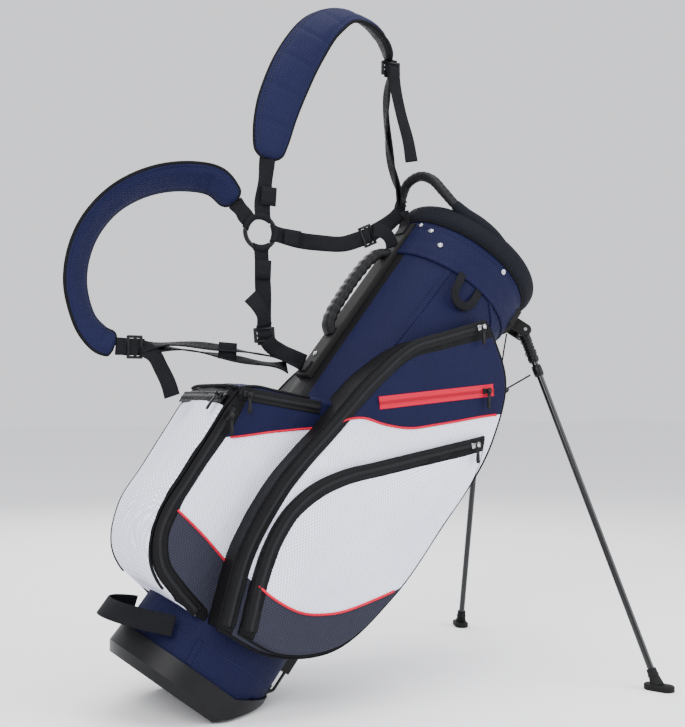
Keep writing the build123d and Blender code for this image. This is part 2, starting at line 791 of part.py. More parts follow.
# Elastic cords that draw the rod head up to the bracket, at their opened length
cord_radius = 1.2
cord_reach = 4.5
with BuildPart() as retract_cords:
    for sign in leg_ends.values():
        top = at(cuff_outer + bracket_depth / 2, sign * cord_reach, leg_pivot_up - 16)
        run = at(head_fore, sign * cord_reach, head_up) - top
        with BuildSketch(Plane(origin=top, z_dir=run)):
            Circle(cord_radius)
        extrude(amount=run.length - eye_radius - 1.5)
finish(retract_cords, "retract_cords")

# Harness. Stations run along each strap: x and z from the hinge line, width, and the turn of the
# width out of the upright plane
upper_pad_route = [
    (131, 852, 44, 0),
    (136, 885, 62, 0),
    (146, 930, 70, 4),
    (164, 978, 72, 10),
    (193, 1035, 70, 22),
    (232, 1085, 66, 40),
    (280, 1108, 62, 58),
    (322, 1096, 60, 66),
    (350, 1066, 54, 70),
    (359, 1044, 40, 70),
]
lower_pad_route = [
    (72, 777, 36, 30),
    (40, 806, 48, 42),
    (0, 810, 54, 50),
    (-64, 797, 56, 52),
    (-124, 761, 56, 50),
    (-164, 706, 56, 46),
    (-178, 638, 54, 42),
    (-165, 584, 48, 36),
    (-143, 556, 42, 20),
    (-120, 547, 34, 0),
]
pad_thickness = 14.0
web_width = 27.0
buckle_length = 18.0
buckle_width = 33.0
buckle_thickness = 7.0


def strap_planes(route, y_offset):
    """Cross planes of a strap, z along it and x across its width."""
    points = [ground_point(x, y_offset, z) for x, z, _, _ in route]
    planes = []
    for index, station in enumerate(route):
        before = points[max(index - 1, 0)]
        after = points[min(index + 1, len(points) - 1)]
        ahead = (after - before).normalized()
        flat = ahead.cross(Vector(0, 1, 0))
        turn = radians(station[3])
        across = flat * cos(turn) + Vector(0, sin(turn), 0)
        planes.append(Plane(origin=points[index], x_dir=across, z_dir=ahead))
    return planes


def strap(route, thickness, y_offset=0):
    with BuildPart(mode=Mode.PRIVATE) as band:
        for plane, station in zip(strap_planes(route, y_offset), route):
            with BuildSketch(plane):
                Rectangle(station[2], thickness)
        loft(ruled=True)
    return band.part


def web(points):
    """Route of plain webbing through points, at its own width."""
    return [(x, z, web_width, 0) for x, z in points]


with BuildPart() as upper_pad:
    add(strap(upper_pad_route, pad_thickness))
finish(upper_pad, "shoulder_pad_upper")

with BuildPart() as lower_pad:
    add(strap(lower_pad_route, pad_thickness))
finish(lower_pad, "shoulder_pad_lower")

ring_centre = (117.5, 732.0)
with BuildPart() as harness_ring:
    with BuildSketch(Plane(origin=ground_point(*ring_centre[:1], 0, ring_centre[1]), z_dir=near)):
        Circle(ring_radius + ring_wire)
        Circle(ring_radius - ring_wire, mode=Mode.SUBTRACT)
    extrude(amount=ring_wire, both=True)
finish(harness_ring, "harness_ring")

right_buckle = (314, 740)
down_buckle = (125, 568)
lower_buckle = (-88, 544)
ring_routes = [
    (0, [(120, 763), (125, 806), (130, 850)]),
    (0, [(94, 753), (86, 763), (76, 773)]),
    (0, [(148, 729), (185, 724), (225, 722), (268, 723), (301, 733)]),
    (0, [(327, 747), (350, 760), (376, 781)]),
    (0, [(119, 701), (123, 640), (125, 581)]),
    (-3, [(137, 550), (150, 543), (193, 525)]),
]
strap_routes = [
    (3, [(359, 1039), (356, 976), (357, 907), (369, 835), (381, 797)]),
    (0, [(-100.5, 544), (-113, 544.4)]),
    (0, [(-76, 544), (-16, 546), (50, 541), (110, 533), (192, 522)]),
]
with BuildPart() as ring_webs:
    for y_offset, points in ring_routes:
        add(strap(web(points), webbing_thickness, y_offset))
finish(ring_webs, "ring_webs")

with BuildPart() as pad_straps:
    for y_offset, points in strap_routes:
        add(strap(web(points), webbing_thickness, y_offset))
finish(pad_straps, "pad_straps")

with BuildPart() as buckles:
    for (x, z), ahead in ((right_buckle, (22, 10)), (down_buckle, (1, -11)), (lower_buckle, (12, 0))):
        axis_way = Vector(ahead[0], 0, ahead[1])
        with BuildSketch(Plane(origin=ground_point(x, 0, z), x_dir=axis_way, z_dir=near)):
            Rectangle(buckle_length, buckle_width)
        extrude(amount=buckle_thickness / 2, both=True)
finish(buckles, "buckles")

# Anchors: tabs on the spine plate that hold the harness ends
tab_root = spine_face - 0.05
tab_thickness = 3.0
low_tab = [(tab_root, 522), (tab_root, 542), (tab_root - tab_thickness, 542), (tab_root - tab_thickness, 522)]
high_tab = [
    (tab_root, 822),
    (tab_root, 842),
    (-146, 860),
    (-149, 857),
    (tab_root - tab_thickness, 838),
    (tab_root - tab_thickness, 822),
]
with BuildPart() as anchors:
    for outline in (low_tab, high_tab):
        with BuildSketch(side(0)):
            with BuildLine():
                Polyline(*outline, close=True)
            make_face()
        extrude(amount=web_width / 2, both=True)
finish(anchors, "harness_anchors")
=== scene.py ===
import json
import math

import bmesh
import bpy
import numpy as np
from mathutils import Matrix, Vector, noise
from mathutils.bvhtree import BVHTree


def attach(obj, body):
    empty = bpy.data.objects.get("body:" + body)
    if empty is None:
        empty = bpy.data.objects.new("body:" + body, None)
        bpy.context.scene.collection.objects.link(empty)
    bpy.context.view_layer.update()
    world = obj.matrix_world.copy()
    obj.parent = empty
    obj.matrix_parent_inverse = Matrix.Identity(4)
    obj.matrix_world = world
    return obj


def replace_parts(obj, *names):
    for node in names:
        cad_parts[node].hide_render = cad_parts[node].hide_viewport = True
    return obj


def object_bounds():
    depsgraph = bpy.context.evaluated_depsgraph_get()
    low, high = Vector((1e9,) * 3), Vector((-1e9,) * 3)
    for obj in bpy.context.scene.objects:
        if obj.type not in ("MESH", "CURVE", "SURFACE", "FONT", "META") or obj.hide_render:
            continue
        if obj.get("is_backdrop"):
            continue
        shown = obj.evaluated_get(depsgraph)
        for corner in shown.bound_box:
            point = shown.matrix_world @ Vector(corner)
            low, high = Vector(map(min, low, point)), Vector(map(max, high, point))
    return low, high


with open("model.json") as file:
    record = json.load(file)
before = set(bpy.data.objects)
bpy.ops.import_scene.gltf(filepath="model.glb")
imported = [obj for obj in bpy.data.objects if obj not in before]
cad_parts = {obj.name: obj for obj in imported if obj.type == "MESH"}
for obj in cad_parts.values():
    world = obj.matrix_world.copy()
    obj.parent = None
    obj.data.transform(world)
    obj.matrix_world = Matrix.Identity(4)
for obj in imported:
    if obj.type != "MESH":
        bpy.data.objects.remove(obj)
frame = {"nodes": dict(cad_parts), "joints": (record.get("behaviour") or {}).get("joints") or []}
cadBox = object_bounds()
cadNodes = frame["nodes"]
jointNamed = {joint["name"]: joint for joint in frame["joints"]}
zipNames = [name[:-4] for name in jointNamed if name.endswith("_run")]

# The bag's own frame: x is fore, from the spine to the legs, y is reach, z runs up the bag.
# Points below are in metres in that frame, and toWorld leans them into place.
bag = {
    "lean": math.radians(38.0),
    "hingeFore": 0.030,
    "hingeUp": 0.005,
    "baseRadius": 0.118,
    "topRadius": 0.122,
    "tubeTop": 0.852,
}


def axesAt(first, second, third, origin):
    place = Matrix((first, second, third)).transposed().to_4x4()
    place.translation = origin
    return place


hinge = Vector(jointNamed["plate_fold"]["pos_m"])
foreWay = Vector((math.cos(bag["lean"]), 0, -math.sin(bag["lean"])))
upWay = Vector((math.sin(bag["lean"]), 0, math.cos(bag["lean"])))
bagOrigin = hinge - foreWay * bag["hingeFore"] - upWay * bag["hingeUp"]
toWorld = axesAt(foreWay, Vector((0, 1, 0)), upWay, bagOrigin)
toBag = toWorld.inverted()
# The harness is drawn in an upright frame on the ground below the plate's hinge
groundFrame = Matrix.Translation((hinge.x, 0, 0))


def tubeRadius(up):
    return bag["baseRadius"] + (bag["topRadius"] - bag["baseRadius"]) * up / bag["tubeTop"]


# Materials


def startMaterial(name, roughness, metallic=0.0, sheen=0.0, coat=0.0, specular=0.5):
    material = bpy.data.materials.new(name)
    material.use_nodes = True
    shader = material.node_tree.nodes["Principled BSDF"]
    shader.inputs["Roughness"].default_value = roughness
    shader.inputs["Metallic"].default_value = metallic
    shader.inputs["Sheen Weight"].default_value = sheen
    shader.inputs["Sheen Roughness"].default_value = 0.45
    shader.inputs["Coat Weight"].default_value = coat
    shader.inputs["Coat Roughness"].default_value = 0.2
    shader.inputs["Specular IOR Level"].default_value = specular
    return material, material.node_tree, shader


def put(tree, kind, **settings):
    node = tree.nodes.new("ShaderNode" + kind)
    for key, value in settings.items():
        setattr(node, key, value)
    return node


def feed(tree, node, **inputs):
    # A value goes onto the socket, and a socket gets linked. n0, n1 are sockets by number
    for key, value in inputs.items():
        numbered = key[0] == "n" and key[1:].isdigit()
        socket = node.inputs[int(key[1:]) if numbered else key.replace("_", " ")]
        if isinstance(value, bpy.types.NodeSocket):
            tree.links.new(value, socket)
        else:
            socket.default_value = value
    return node


def maths(tree, operation, first, second=0.0, third=0.5):
    return feed(tree, put(tree, "Math", operation=operation), n0=first, n1=second, n2=third).outputs[0]


def tinted(colour, factor):
    return tuple(c * factor for c in colour[:3]) + (1,)


def mixColour(tree, share, first, second, blend="MIX"):
    node = put(tree, "Mix", data_type="RGBA", blend_type=blend)
    return feed(tree, node, n0=share, n6=first, n7=second).outputs[2]


def bump(tree, height, strength, distance, normal=None):
    node = feed(tree, put(tree, "Bump"), Height=height, Strength=strength, Distance=distance)
    if normal is not None:
        tree.links.new(normal, node.inputs["Normal"])
    return node.outputs["Normal"]


def coordinates(tree, source, scale, turn=0.0):
    where = put(tree, "TexCoord").outputs[source]
    mapping = feed(tree, put(tree, "Mapping"), Vector=where, Scale=scale, Rotation=(0, 0, turn))
    return mapping.outputs["Vector"]


def bands(tree, source, period, turn, distortion=0.0):
    # Soft stripes of one period, turned in the plane of the cloth
    wave = put(tree, "TexWave", wave_type="BANDS", bands_direction="X", wave_profile="SIN")
    where = coordinates(tree, source, (1, 1, 1), turn)
    # A wave texture repeats every 20th of a unit at scale 1, times 2 pi
    feed(tree, wave, Vector=where, Scale=math.pi / (10 * period), Distortion=distortion)
    return wave.outputs["Fac"]


def mottle(tree, source, scale, detail=3.0):
    where = put(tree, "TexCoord").outputs[source]
    return feed(tree, put(tree, "TexNoise"), Vector=where, Scale=scale, Detail=detail).outputs["Fac"]


def hexWeave(tree, period):
    # Two slanted sets of threads that cross into small cells
    first = bands(tree, "UV", period, math.radians(30), 0.3)
    second = bands(tree, "UV", period, math.radians(-30), 0.3)
    return maths(tree, "MULTIPLY", first, second)


fabric = {
    "period": 0.0038,
    "navy": (0.0060, 0.0072, 0.034, 1),
    "white": (0.80, 0.825, 0.97, 1),
    "grey": (0.026, 0.027, 0.042, 1),
    "black": (0.0042, 0.0042, 0.0050, 1),
    "depth": 0.0009,
}


def panelledFabric(name, zones, base):
    # Sewn panels in several colours. Each zone is (attribute, colour), over the ones before it
    material, tree, shader = startMaterial(name, 0.62, specular=0.10)
    weave = hexWeave(tree, fabric["period"])
    colour = put(tree, "RGB").outputs[0]
    colour.default_value = base
    for zone, paint in zones:
        line = put(tree, "Attribute", attribute_name=zone).outputs["Fac"]
        colour = mixColour(tree, maths(tree, "GREATER_THAN", line, 0.0), colour, paint)
    shade = maths(tree, "MULTIPLY_ADD", mottle(tree, "Object", 9.0), 0.22, 0.87)
    threads = maths(tree, "MULTIPLY_ADD", weave, 0.62, 0.76)
    both = maths(tree, "MULTIPLY", shade, threads)
    grey = feed(tree, put(tree, "CombineColor"), n0=both, n1=both, n2=both)
    colour = mixColour(tree, 1.0, colour, grey.outputs[0], "MULTIPLY")
    # Slack in the cloth shows as soft waves, longer up the bag than across it
    where = coordinates(tree, "UV", (1.0, 0.45, 1.0))
    slack = feed(tree, put(tree, "TexNoise"), Vector=where, Scale=26.0, Detail=2.5, Roughness=0.55)
    soft = bump(tree, slack.outputs["Fac"], 0.5, 0.008)
    feed(tree, shader, Base_Color=colour, Normal=bump(tree, weave, 0.55, fabric["depth"], soft))
    return material


def wovenTrim(name, colour, rib=0.0022, roughness=0.7):
    # Webbing and binding: ribs across, finer threads along
    material, tree, shader = startMaterial(name, roughness, specular=0.08)
    ribs = bands(tree, "UV", rib, math.radians(90), 0.5)
    threads = bands(tree, "UV", rib * 0.6, 0.0, 0.5)
    height = maths(tree, "MULTIPLY_ADD", ribs, 0.7, threads)
    wear = mixColour(tree, mottle(tree, "Object", 30.0), colour, tinted(colour, 2.1))
    feed(tree, shader, Base_Color=wear, Normal=bump(tree, height, 0.5, 0.0007))
    return material


def zipTapeMaterial(name, tapeColour, coilColour):
    # Across the tape is UV x, along it is UV y. The coil is the narrow middle
    material, tree, shader = startMaterial(name, 0.5, specular=0.12)
    parts = feed(tree, put(tree, "SeparateXYZ"), Vector=put(tree, "TexCoord").outputs["UV"])
    across = maths(tree, "ABSOLUTE", parts.outputs["X"])
    coil = maths(tree, "LESS_THAN", across, 0.0024)
    teeth = bands(tree, "UV", 0.0030, math.radians(90))
    weave = bands(tree, "UV", 0.0016, math.radians(45))
    flatPart = maths(tree, "MULTIPLY", weave, 0.35)
    height = feed(tree, put(tree, "Mix", data_type="FLOAT"), n0=coil, n2=flatPart, n3=teeth)
    colour = mixColour(tree, coil, tapeColour, coilColour)
    feed(tree, shader, Base_Color=colour, Normal=bump(tree, height.outputs[0], 0.8, 0.0008))
    return material


def mouldedPlastic(name, colour, roughness, grain=900.0, strength=0.25, coat=0.0):
    material, tree, shader = startMaterial(name, roughness, coat=coat, specular=0.16)
    speckle = mottle(tree, "Object", grain, 2.0)
    scuff = mixColour(tree, mottle(tree, "Object", 45.0), colour, tinted(colour, 1.6))
    feed(tree, shader, Base_Color=scuff, Normal=bump(tree, speckle, strength, 0.0003))
    return material


def polishedMetal(name, colour, roughness, metallic=1.0):
    material, tree, shader = startMaterial(name, roughness, metallic=metallic)
    rough = maths(tree, "MULTIPLY_ADD", mottle(tree, "Object", 160.0), 0.12, roughness - 0.04)
    feed(tree, shader, Base_Color=colour, Roughness=rough)
    return material


def spacerMesh(name, colour):
    # Padded open mesh: round cells pressed into a soft surface
    material, tree, shader = startMaterial(name, 0.8, specular=0.08)
    where = put(tree, "TexCoord").outputs["UV"]
    voronoi = put(tree, "TexVoronoi", voronoi_dimensions="2D")
    cells = feed(tree, voronoi, Vector=where, Scale=330.0, Randomness=0.25).outputs["Distance"]
    # Painted shade and highlight: the cells are darker where they are pressed in and lighter on the ridges
    # between them
    shade = mixColour(tree, cells, tinted(colour, 0.55), tinted(colour, 1.5))
    feed(tree, shader, Base_Color=shade, Normal=bump(tree, cells, 0.9, 0.0012))
    return material


tubeFabric = panelledFabric("tubeFabric", [("spineZone", fabric["black"])], fabric["navy"])
sideZones = [("navyZone", fabric["navy"]), ("greyZone", fabric["grey"]), ("zipZone", fabric["black"])]
sideFabric = panelledFabric("sideFabric", sideZones, fabric["white"])
ballZonePaints = sideZones[:2] + [("backZone", fabric["white"]), sideZones[2], ("lidZone", fabric["navy"])]
ballFabric = panelledFabric("ballFabric", ballZonePaints, fabric["white"])
cuffFabric = panelledFabric("cuffFabric", [], fabric["navy"])
padFabric = panelledFabric("padFabric", [("linerZone", fabric["black"])], (0.0080, 0.0095, 0.040, 1))
blackTrim = wovenTrim("blackTrim", (0.0042, 0.0042, 0.0050, 1))
blackWebbing = wovenTrim("blackWebbing", (0.0050, 0.0050, 0.0062, 1), 0.0030)
dividerCloth = wovenTrim("dividerCloth", (0.009, 0.009, 0.012, 1), 0.0020, 0.85)
redPiping = wovenTrim("redPiping", (0.36, 0.004, 0.020, 1), 0.0030, 0.45)
blackZip = zipTapeMaterial("blackZip", (0.0040, 0.0040, 0.0048, 1), (0.012, 0.012, 0.014, 1))
redZip = zipTapeMaterial("redZip", (0.50, 0.0035, 0.030, 1), (0.33, 0.0025, 0.018, 1))
rimMesh = spacerMesh("rimMesh", (0.0090, 0.0095, 0.014, 1))
bootPlastic = mouldedPlastic("bootPlastic", (0.0050, 0.0050, 0.0058, 1), 0.42, 700.0, 0.2)
gripRubber = mouldedPlastic("gripRubber", (0.0055, 0.0055, 0.0062, 1), 0.5)
glossPlastic = mouldedPlastic("glossPlastic", (0.0050, 0.0050, 0.0056, 1), 0.34, 400.0, 0.08)
footRubber = mouldedPlastic("footRubber", (0.006, 0.006, 0.006, 1), 0.72, 1200.0, 0.4)
legLacquer = polishedMetal("legLacquer", (0.010, 0.010, 0.011, 1), 0.16, 0.25)
brightMetal = polishedMetal("brightMetal", (0.42, 0.42, 0.44, 1), 0.16)
darkWire = polishedMetal("darkWire", (0.055, 0.055, 0.06, 1), 0.3)
print("materials ready")

# Lines, grids and sweeps


def stepLengths(line):
    # Distance along a line at each of its points
    return np.concatenate(([0], np.cumsum(np.linalg.norm(np.diff(line, axis=0), axis=1))))


def resampled(line, count):
    reach = stepLengths(line)
    marks = np.linspace(0, reach[-1], count)
    return np.stack([np.interp(marks, reach, line[:, k]) for k in range(line.shape[1])], axis=1)


def fullTurn(count):
    return np.linspace(0, 2 * math.pi, count, endpoint=False)


def squared(value, power):
    # Makes a circle boxier when the power is below one
    return math.copysign(abs(value) ** power, value)


def flow(points, spacing, closed=False):
    # An even, smooth line through given points
    line = np.array(points, float)
    ring = np.vstack((line, line[:1])) if closed else line
    hops = np.diff(ring, axis=0)
    gaps = np.linalg.norm(hops, axis=1)[:, None]
    slopes = hops / gaps
    count = len(hops)
    ways = []
    for i in range(count + 1):
        before = (i - 1) % count if closed else max(i - 1, 0)
        after = i % count if closed else min(i, count - 1)
        total = gaps[before] + gaps[after]
        ways.append((slopes[before] * gaps[after] + slopes[after] * gaps[before]) / total)
    fine = []
    for i in range(count):
        for t in np.linspace(0, 1, 14, endpoint=False):
            fine.append(
                (2 * t**3 - 3 * t**2 + 1) * ring[i]
                + (t**3 - 2 * t**2 + t) * ways[i] * gaps[i]
                + (3 * t**2 - 2 * t**3) * ring[i + 1]
                + (t**3 - t**2) * ways[i + 1] * gaps[i]
            )
    fine = np.array(fine + [ring[-1]])
    even = resampled(fine, max(2, int(round(stepLengths(fine)[-1] / spacing))) + 1)
    return even[:-1] if closed else even


def makePiece(name, verts, faces, cornerUV, material, place, zones=None):
    mesh = bpy.data.meshes.new(name)
    mesh.from_pydata([tuple(v) for v in verts], [], faces)
    layer = mesh.uv_layers.new(name="UVMap")
    layer.data.foreach_set("uv", np.array(cornerUV, np.float32).ravel())
    for zone, values in (zones or {}).items():
        mesh.attributes.new(zone, "FLOAT", "POINT").data.foreach_set("value", np.array(values, np.float32))
    shell = bmesh.new()
    shell.from_mesh(mesh)
    bmesh.ops.recalc_face_normals(shell, faces=shell.faces)
    shell.to_mesh(mesh)
    shell.free()
    mesh.transform(place)
    mesh.polygons.foreach_set("use_smooth", [True] * len(mesh.polygons))
    mesh.materials.append(material)
    piece = bpy.data.objects.new(name, mesh)
    bpy.context.scene.collection.objects.link(piece)
    return piece


def gridPiece(name, rows, material, place=toWorld, ringed=False, across=None, zoneOf=None):
    # Skin over rows of points. Every row is a closed loop. ringed joins the last row to the first
    rows = np.array(rows, float)
    rowCount, loopCount = rows.shape[:2]
    around = np.linalg.norm(np.roll(rows, -1, axis=1) - rows, axis=2).mean(axis=0)
    uAt = np.concatenate(([0], np.cumsum(around))) if across is None else np.append(across, across[0])
    rise = np.linalg.norm(np.roll(rows, -1, axis=0) - rows, axis=2).mean(axis=1)
    vAt = np.concatenate(([0], np.cumsum(rise)))
    verts = list(rows.reshape(-1, 3))
    faces, cornerUV = [], []
    for i in range(rowCount if ringed else rowCount - 1):
        k = (i + 1) % rowCount
        for j in range(loopCount):
            n = (j + 1) % loopCount
            faces.append((i * loopCount + j, i * loopCount + n, k * loopCount + n, k * loopCount + j))
            cornerUV += [(uAt[j], vAt[i]), (uAt[j + 1], vAt[i])]
            cornerUV += [(uAt[j + 1], vAt[i + 1]), (uAt[j], vAt[i + 1])]
    if not ringed:
        for i in (0, rowCount - 1):
            middle = len(verts)
            verts.append(rows[i].mean(axis=0))
            for j in range(loopCount):
                n = (j + 1) % loopCount
                faces.append((i * loopCount + j, i * loopCount + n, middle))
                cornerUV += [(uAt[j], vAt[i]), (uAt[j + 1], vAt[i]), (uAt[j], vAt[i] + 0.01)]
    zones = {zone: rule(np.array(verts)) for zone, rule in (zoneOf or {}).items()}
    return makePiece(name, verts, faces, cornerUV, material, place, zones)


def travel(path, closed=False):
    # Unit direction at each point of a path
    path = np.array(path, float)
    if closed:
        ways = np.roll(path, -1, axis=0) - np.roll(path, 1, axis=0)
    else:
        ways = np.gradient(path, axis=0)
    return ways / np.linalg.norm(ways, axis=1)[:, None]


def carry(path, closed=False):
    # Normals that follow a path with no twist of their own
    ways = travel(path, closed)
    start = Vector(ways[0]).orthogonal().normalized()
    normals = [np.array(start)]
    for way in ways[1:]:
        last = normals[-1] - way * (normals[-1] @ way)
        normals.append(last / np.linalg.norm(last))
    return np.array(normals)


def sweepRows(path, profile, normals, closed=False, growth=None):
    # Profile points are (across, outwards) pairs, carried along the path
    ways = travel(path, closed)
    rows = []
    for i, (point, way, normal) in enumerate(zip(np.array(path), ways, normals)):
        normal = normal - way * (normal @ way)
        normal = normal / np.linalg.norm(normal)
        sideways = np.cross(way, normal)
        size = 1.0 if growth is None else growth[i]
        rows.append([point + sideways * a * size + normal * b * size for a, b in profile])
    return rows


def roundProfile(radius, sides=8):
    return [(radius * math.cos(t), radius * math.sin(t)) for t in fullTurn(sides)]


def flatProfile(width, thickness, corner=0.35):
    # Rounded flat strip, its inner face on the path
    half, inset = width / 2, thickness * corner
    ends = [(half - inset, 0), (half, inset), (half, thickness - inset), (half - inset, thickness)]
    low = [(-half, inset), (-half + inset, 0), (-half / 2, 0), (0, 0), (half / 2, 0)]
    high = [(half / 2, thickness), (0, thickness), (-half / 2, thickness)]
    return low + ends + high + [(-half + inset, thickness), (-half, thickness - inset)]


def piping(name, path, radius, material, place=toWorld, closed=False):
    rows = sweepRows(path, roundProfile(radius), carry(path, closed), closed)
    return gridPiece(name, rows, material, place, ringed=closed)


def wearsOn(piece, body, slotName, *replaced):
    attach(piece, body)
    if replaced:
        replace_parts(piece, *replaced)
    return piece


def cloudy(point, scale, seed):
    return noise.noise(Vector(point) * scale + Vector((seed, seed * 1.7, -seed)))


def evenly(points, count):
    # The same line with a fixed number of even steps
    return resampled(flow(points, 0.003), count)


def millimetres(points):
    return np.array(points, float) / 1000


def bagSurface(*pieces):
    # Search tree over finished pieces, in the bag's frame
    verts, faces = [], []
    for piece in pieces:
        start = len(verts)
        verts += [toBag @ v.co for v in piece.data.vertices]
        faces += [[start + k for k in p.vertices] for p in piece.data.polygons]
    return BVHTree.FromPolygons(verts, faces)


def drape(tree, points, side, lift, fallback):
    # Lays points (fore, up) on the near (-1) or far (+1) face, lift above it
    laid = []
    for f, w in points:
        spot = tree.ray_cast(Vector((f, side * 0.4, w)), Vector((0, -side, 0)))[0]
        reach = fallback if spot is None else abs(spot.y)
        laid.append((f, side * (reach + lift), w))
    laid = np.array(laid)
    # The reach is evened out so that a trim doesn't jump
    for _ in range(3):
        laid[1:-1, 1] = (laid[:-2, 1] + 2 * laid[1:-1, 1] + laid[2:, 1]) / 4
    return laid


# Bag tube

tube = {"loops": 192, "rows": 120, "wall": 0.003, "top": 0.853}
# The foot of the tube rises at the front over the boot, and highest over the rod's notch
tubeFoot = {"notchTurn": 23.4, "notchTop": 0.0958, "frontTurn": 60, "front": 0.058, "back": 0.040}


def tubeBottom(turn):
    away = abs((turn + 180) % 360 - 180)
    if away < tubeFoot["notchTurn"]:
        return tubeFoot["notchTop"]
    return tubeFoot["front"] if away < tubeFoot["frontTurn"] else tubeFoot["back"]


def tubePoint(turn, up, out):
    angle = math.radians(turn)
    radius = tubeRadius(up) + out
    return (radius * math.cos(angle), radius * math.sin(angle), up)


def tubeSoftness(turn, up):
    # The stiffened cloth is nearly round, with long shallow dents
    place = tubePoint(turn, up, 0)
    return 0.0011 * cloudy(place, 9.0, 3.1) + 0.0005 * cloudy(place, 26.0, 8.2) - 0.0003


tubeRows = []
turns = [360 * k / tube["loops"] for k in range(tube["loops"])]
outerRows = [(0, t) for t in np.linspace(0, 1, tube["rows"])]
innerRows = [(-tube["wall"], t) for t in np.linspace(1, 0, 12)]
for out, share in outerRows + innerRows:
    row = []
    for turn in turns:
        up = tubeBottom(turn) + (tube["top"] - tubeBottom(turn)) * share
        # No dents near the boot or under the cuff
        strength = min(1, max(0, (up - 0.10) / 0.05), (0.80 - up) / 0.03 if up < 0.80 else 0)
        dent = max(tubeSoftness(turn, up) * strength, -0.002)
        row.append(tubePoint(turn, up, dent if out == 0 else out))
    tubeRows.append(row)


def spineStrip(v):
    # Black strip under the spine grip
    away = math.pi - np.abs(np.arctan2(v[:, 1], v[:, 0]))
    return np.where((v[:, 2] > 0.48) & (v[:, 2] < 0.80), math.radians(18.5) - away, -1)


bagTube = gridPiece("bagTube", tubeRows, tubeFabric, ringed=True, zoneOf={"spineZone": spineStrip})
wearsOn(bagTube, "bag", "navy_fabric", "bag_tube")

# Cuff: a second layer round the top with a turned edge

cuff = {"bottom": 0.783, "height": 0.0698, "slope": 0.0045, "edge": 0.0034}


def cuffSlope(turn):
    # The cuff's lower edge runs a little aslant
    return cuff["slope"] * math.sin(math.radians(turn + 160))


cuffRows = []
cuffProfile = [(0.0004, 0.0), (0.0026, 0.0008), (0.0033, 0.0035), (0.0028, 0.007)]
cuffProfile += [(0.0028 + 0.0004 * math.sin(k * 1.3), 0.012 + k * 0.0055) for k in range(10)]
cuffProfile += [(0.0028, 0.0690), (0.0005, cuff["height"]), (-0.0004, 0.040), (-0.0004, 0.010)]
for out, rise in cuffProfile:
    row = []
    for turn in turns:
        low = cuffSlope(turn)
        up = cuff["bottom"] + low + rise * (cuff["height"] - low) / cuff["height"]
        ripple = 0.0005 * cloudy(tubePoint(turn, up, 0), 34.0, 5.5) if out > 0.001 else 0
        row.append(tubePoint(turn, up, out + ripple))
    cuffRows.append(row)
cuffShell = gridPiece("cuffShell", cuffRows, cuffFabric, ringed=True)
wearsOn(cuffShell, "bag", "navy_fabric", "cuff_band")

# Seams on the tube: a raised double fold with a row of stitches beside it


def tubeLine(points, out, spacing=0.004):
    # A line on the tube through (turn, up) points. Turns are scaled down to be spaced like heights
    line = [(turn / 1000, up) for turn, up in points]
    count = max(8, int(abs(points[0][1] - points[-1][1]) / spacing) + 30)
    return [tubePoint(turn, up, out) for turn, up in evenly(line, count) * (1000, 1)]


def outward(path):
    flat = np.array(path) * (1, 1, 0)
    return flat / np.linalg.norm(flat, axis=1)[:, None]


def stitches(name, path, normals, material, place=toWorld, length=0.0034, gap=0.0016, radius=0.00042):
    # One thin rounded dash per stitch, all in one mesh
    line = np.array(path)
    reach = stepLengths(line)
    verts, faces = [], []
    for start in np.arange(0.002, reach[-1] - length, length + gap):
        marks = [start + length * k for k in (0, 0.5, 1)]
        spots = [np.array([np.interp(mark, reach, line[:, a]) for a in range(3)]) for mark in marks]
        normal = np.array([np.interp(start, reach, normals[:, a]) for a in range(3)])
        way = (spots[2] - spots[0]) / (np.linalg.norm(spots[2] - spots[0]) + 1e-9)
        sideways = np.cross(way, normal)
        base = len(verts)
        for spot, grow in zip(spots, (0.55, 1.0, 0.55)):
            for turn in fullTurn(6):
                side = sideways * math.cos(turn) + normal * math.sin(turn)
                verts.append(spot + side * radius * grow)
        for first in (base, base + 6):
            for k in range(6):
                n = (k + 1) % 6
                faces.append((first + k, first + n, first + 6 + n, first + 6 + k))
        faces += [tuple(base + k for k in range(5, -1, -1)), tuple(base + 12 + k for k in range(6))]
    cornerUV = [(0.0, 0.0)] * sum(len(face) for face in faces)
    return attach(makePiece(name, verts, faces, cornerUV, material, place), "bag")


navyThread = mouldedPlastic("navyThread", (0.013, 0.015, 0.055, 1), 0.6)
blackThread = mouldedPlastic("blackThread", (0.022, 0.022, 0.026, 1), 0.6)
seamProfile = [
    (-0.0042, 0), (0.0042, 0), (0.0042, 0.0006), (0.0024, 0.0013),
    (0, 0.0009), (-0.0024, 0.0013), (-0.0042, 0.0006),
]
seamPlaces = {
    "seamBack": [(240, 0.785), (239, 0.74), (237, 0.66), (235, 0.60), (234, 0.56)],
    "seamFront": [(278, 0.797), (286, 0.784), (295, 0.773), (303, 0.757)],
    "seamFar": [(120, 0.785), (121, 0.70), (124, 0.60), (126, 0.56)],
    "seamLow": [(241, 0.083), (242, 0.066), (243, 0.046)],
}
for seamName, seamPoints in seamPlaces.items():
    line = tubeLine(seamPoints, 0.0002)
    seam = gridPiece(seamName, sweepRows(line, seamProfile, outward(line)), cuffFabric)
    wearsOn(seam, "bag", "navy_fabric")
    edge = tubeLine([(turn + 1.6, up) for turn, up in seamPoints], 0.0012)
    stitches(seamName + "Stitches", edge, outward(edge), navyThread)
for rowName, height in (("cuffStitches", 0.0048), ("cuffStitchesHigh", 0.058)):
    edge = []
    for turn in np.arange(8, 352, 1.2):
        edge.append(tubePoint(turn, cuff["bottom"] + height + cuffSlope(turn), cuff["edge"]))
    stitches(rowName, edge, outward(edge), navyThread)
lowEdge = []
for turn in np.arange(198, 320, 1.2):
    dip = 0.010 * math.sin(math.radians((turn - 225) * 1.1))
    lowEdge.append(tubePoint(turn, 0.076 + dip, 0.0006))
stitches("bottomStitches", lowEdge, outward(lowEdge), navyThread)
print("tube and cuff")

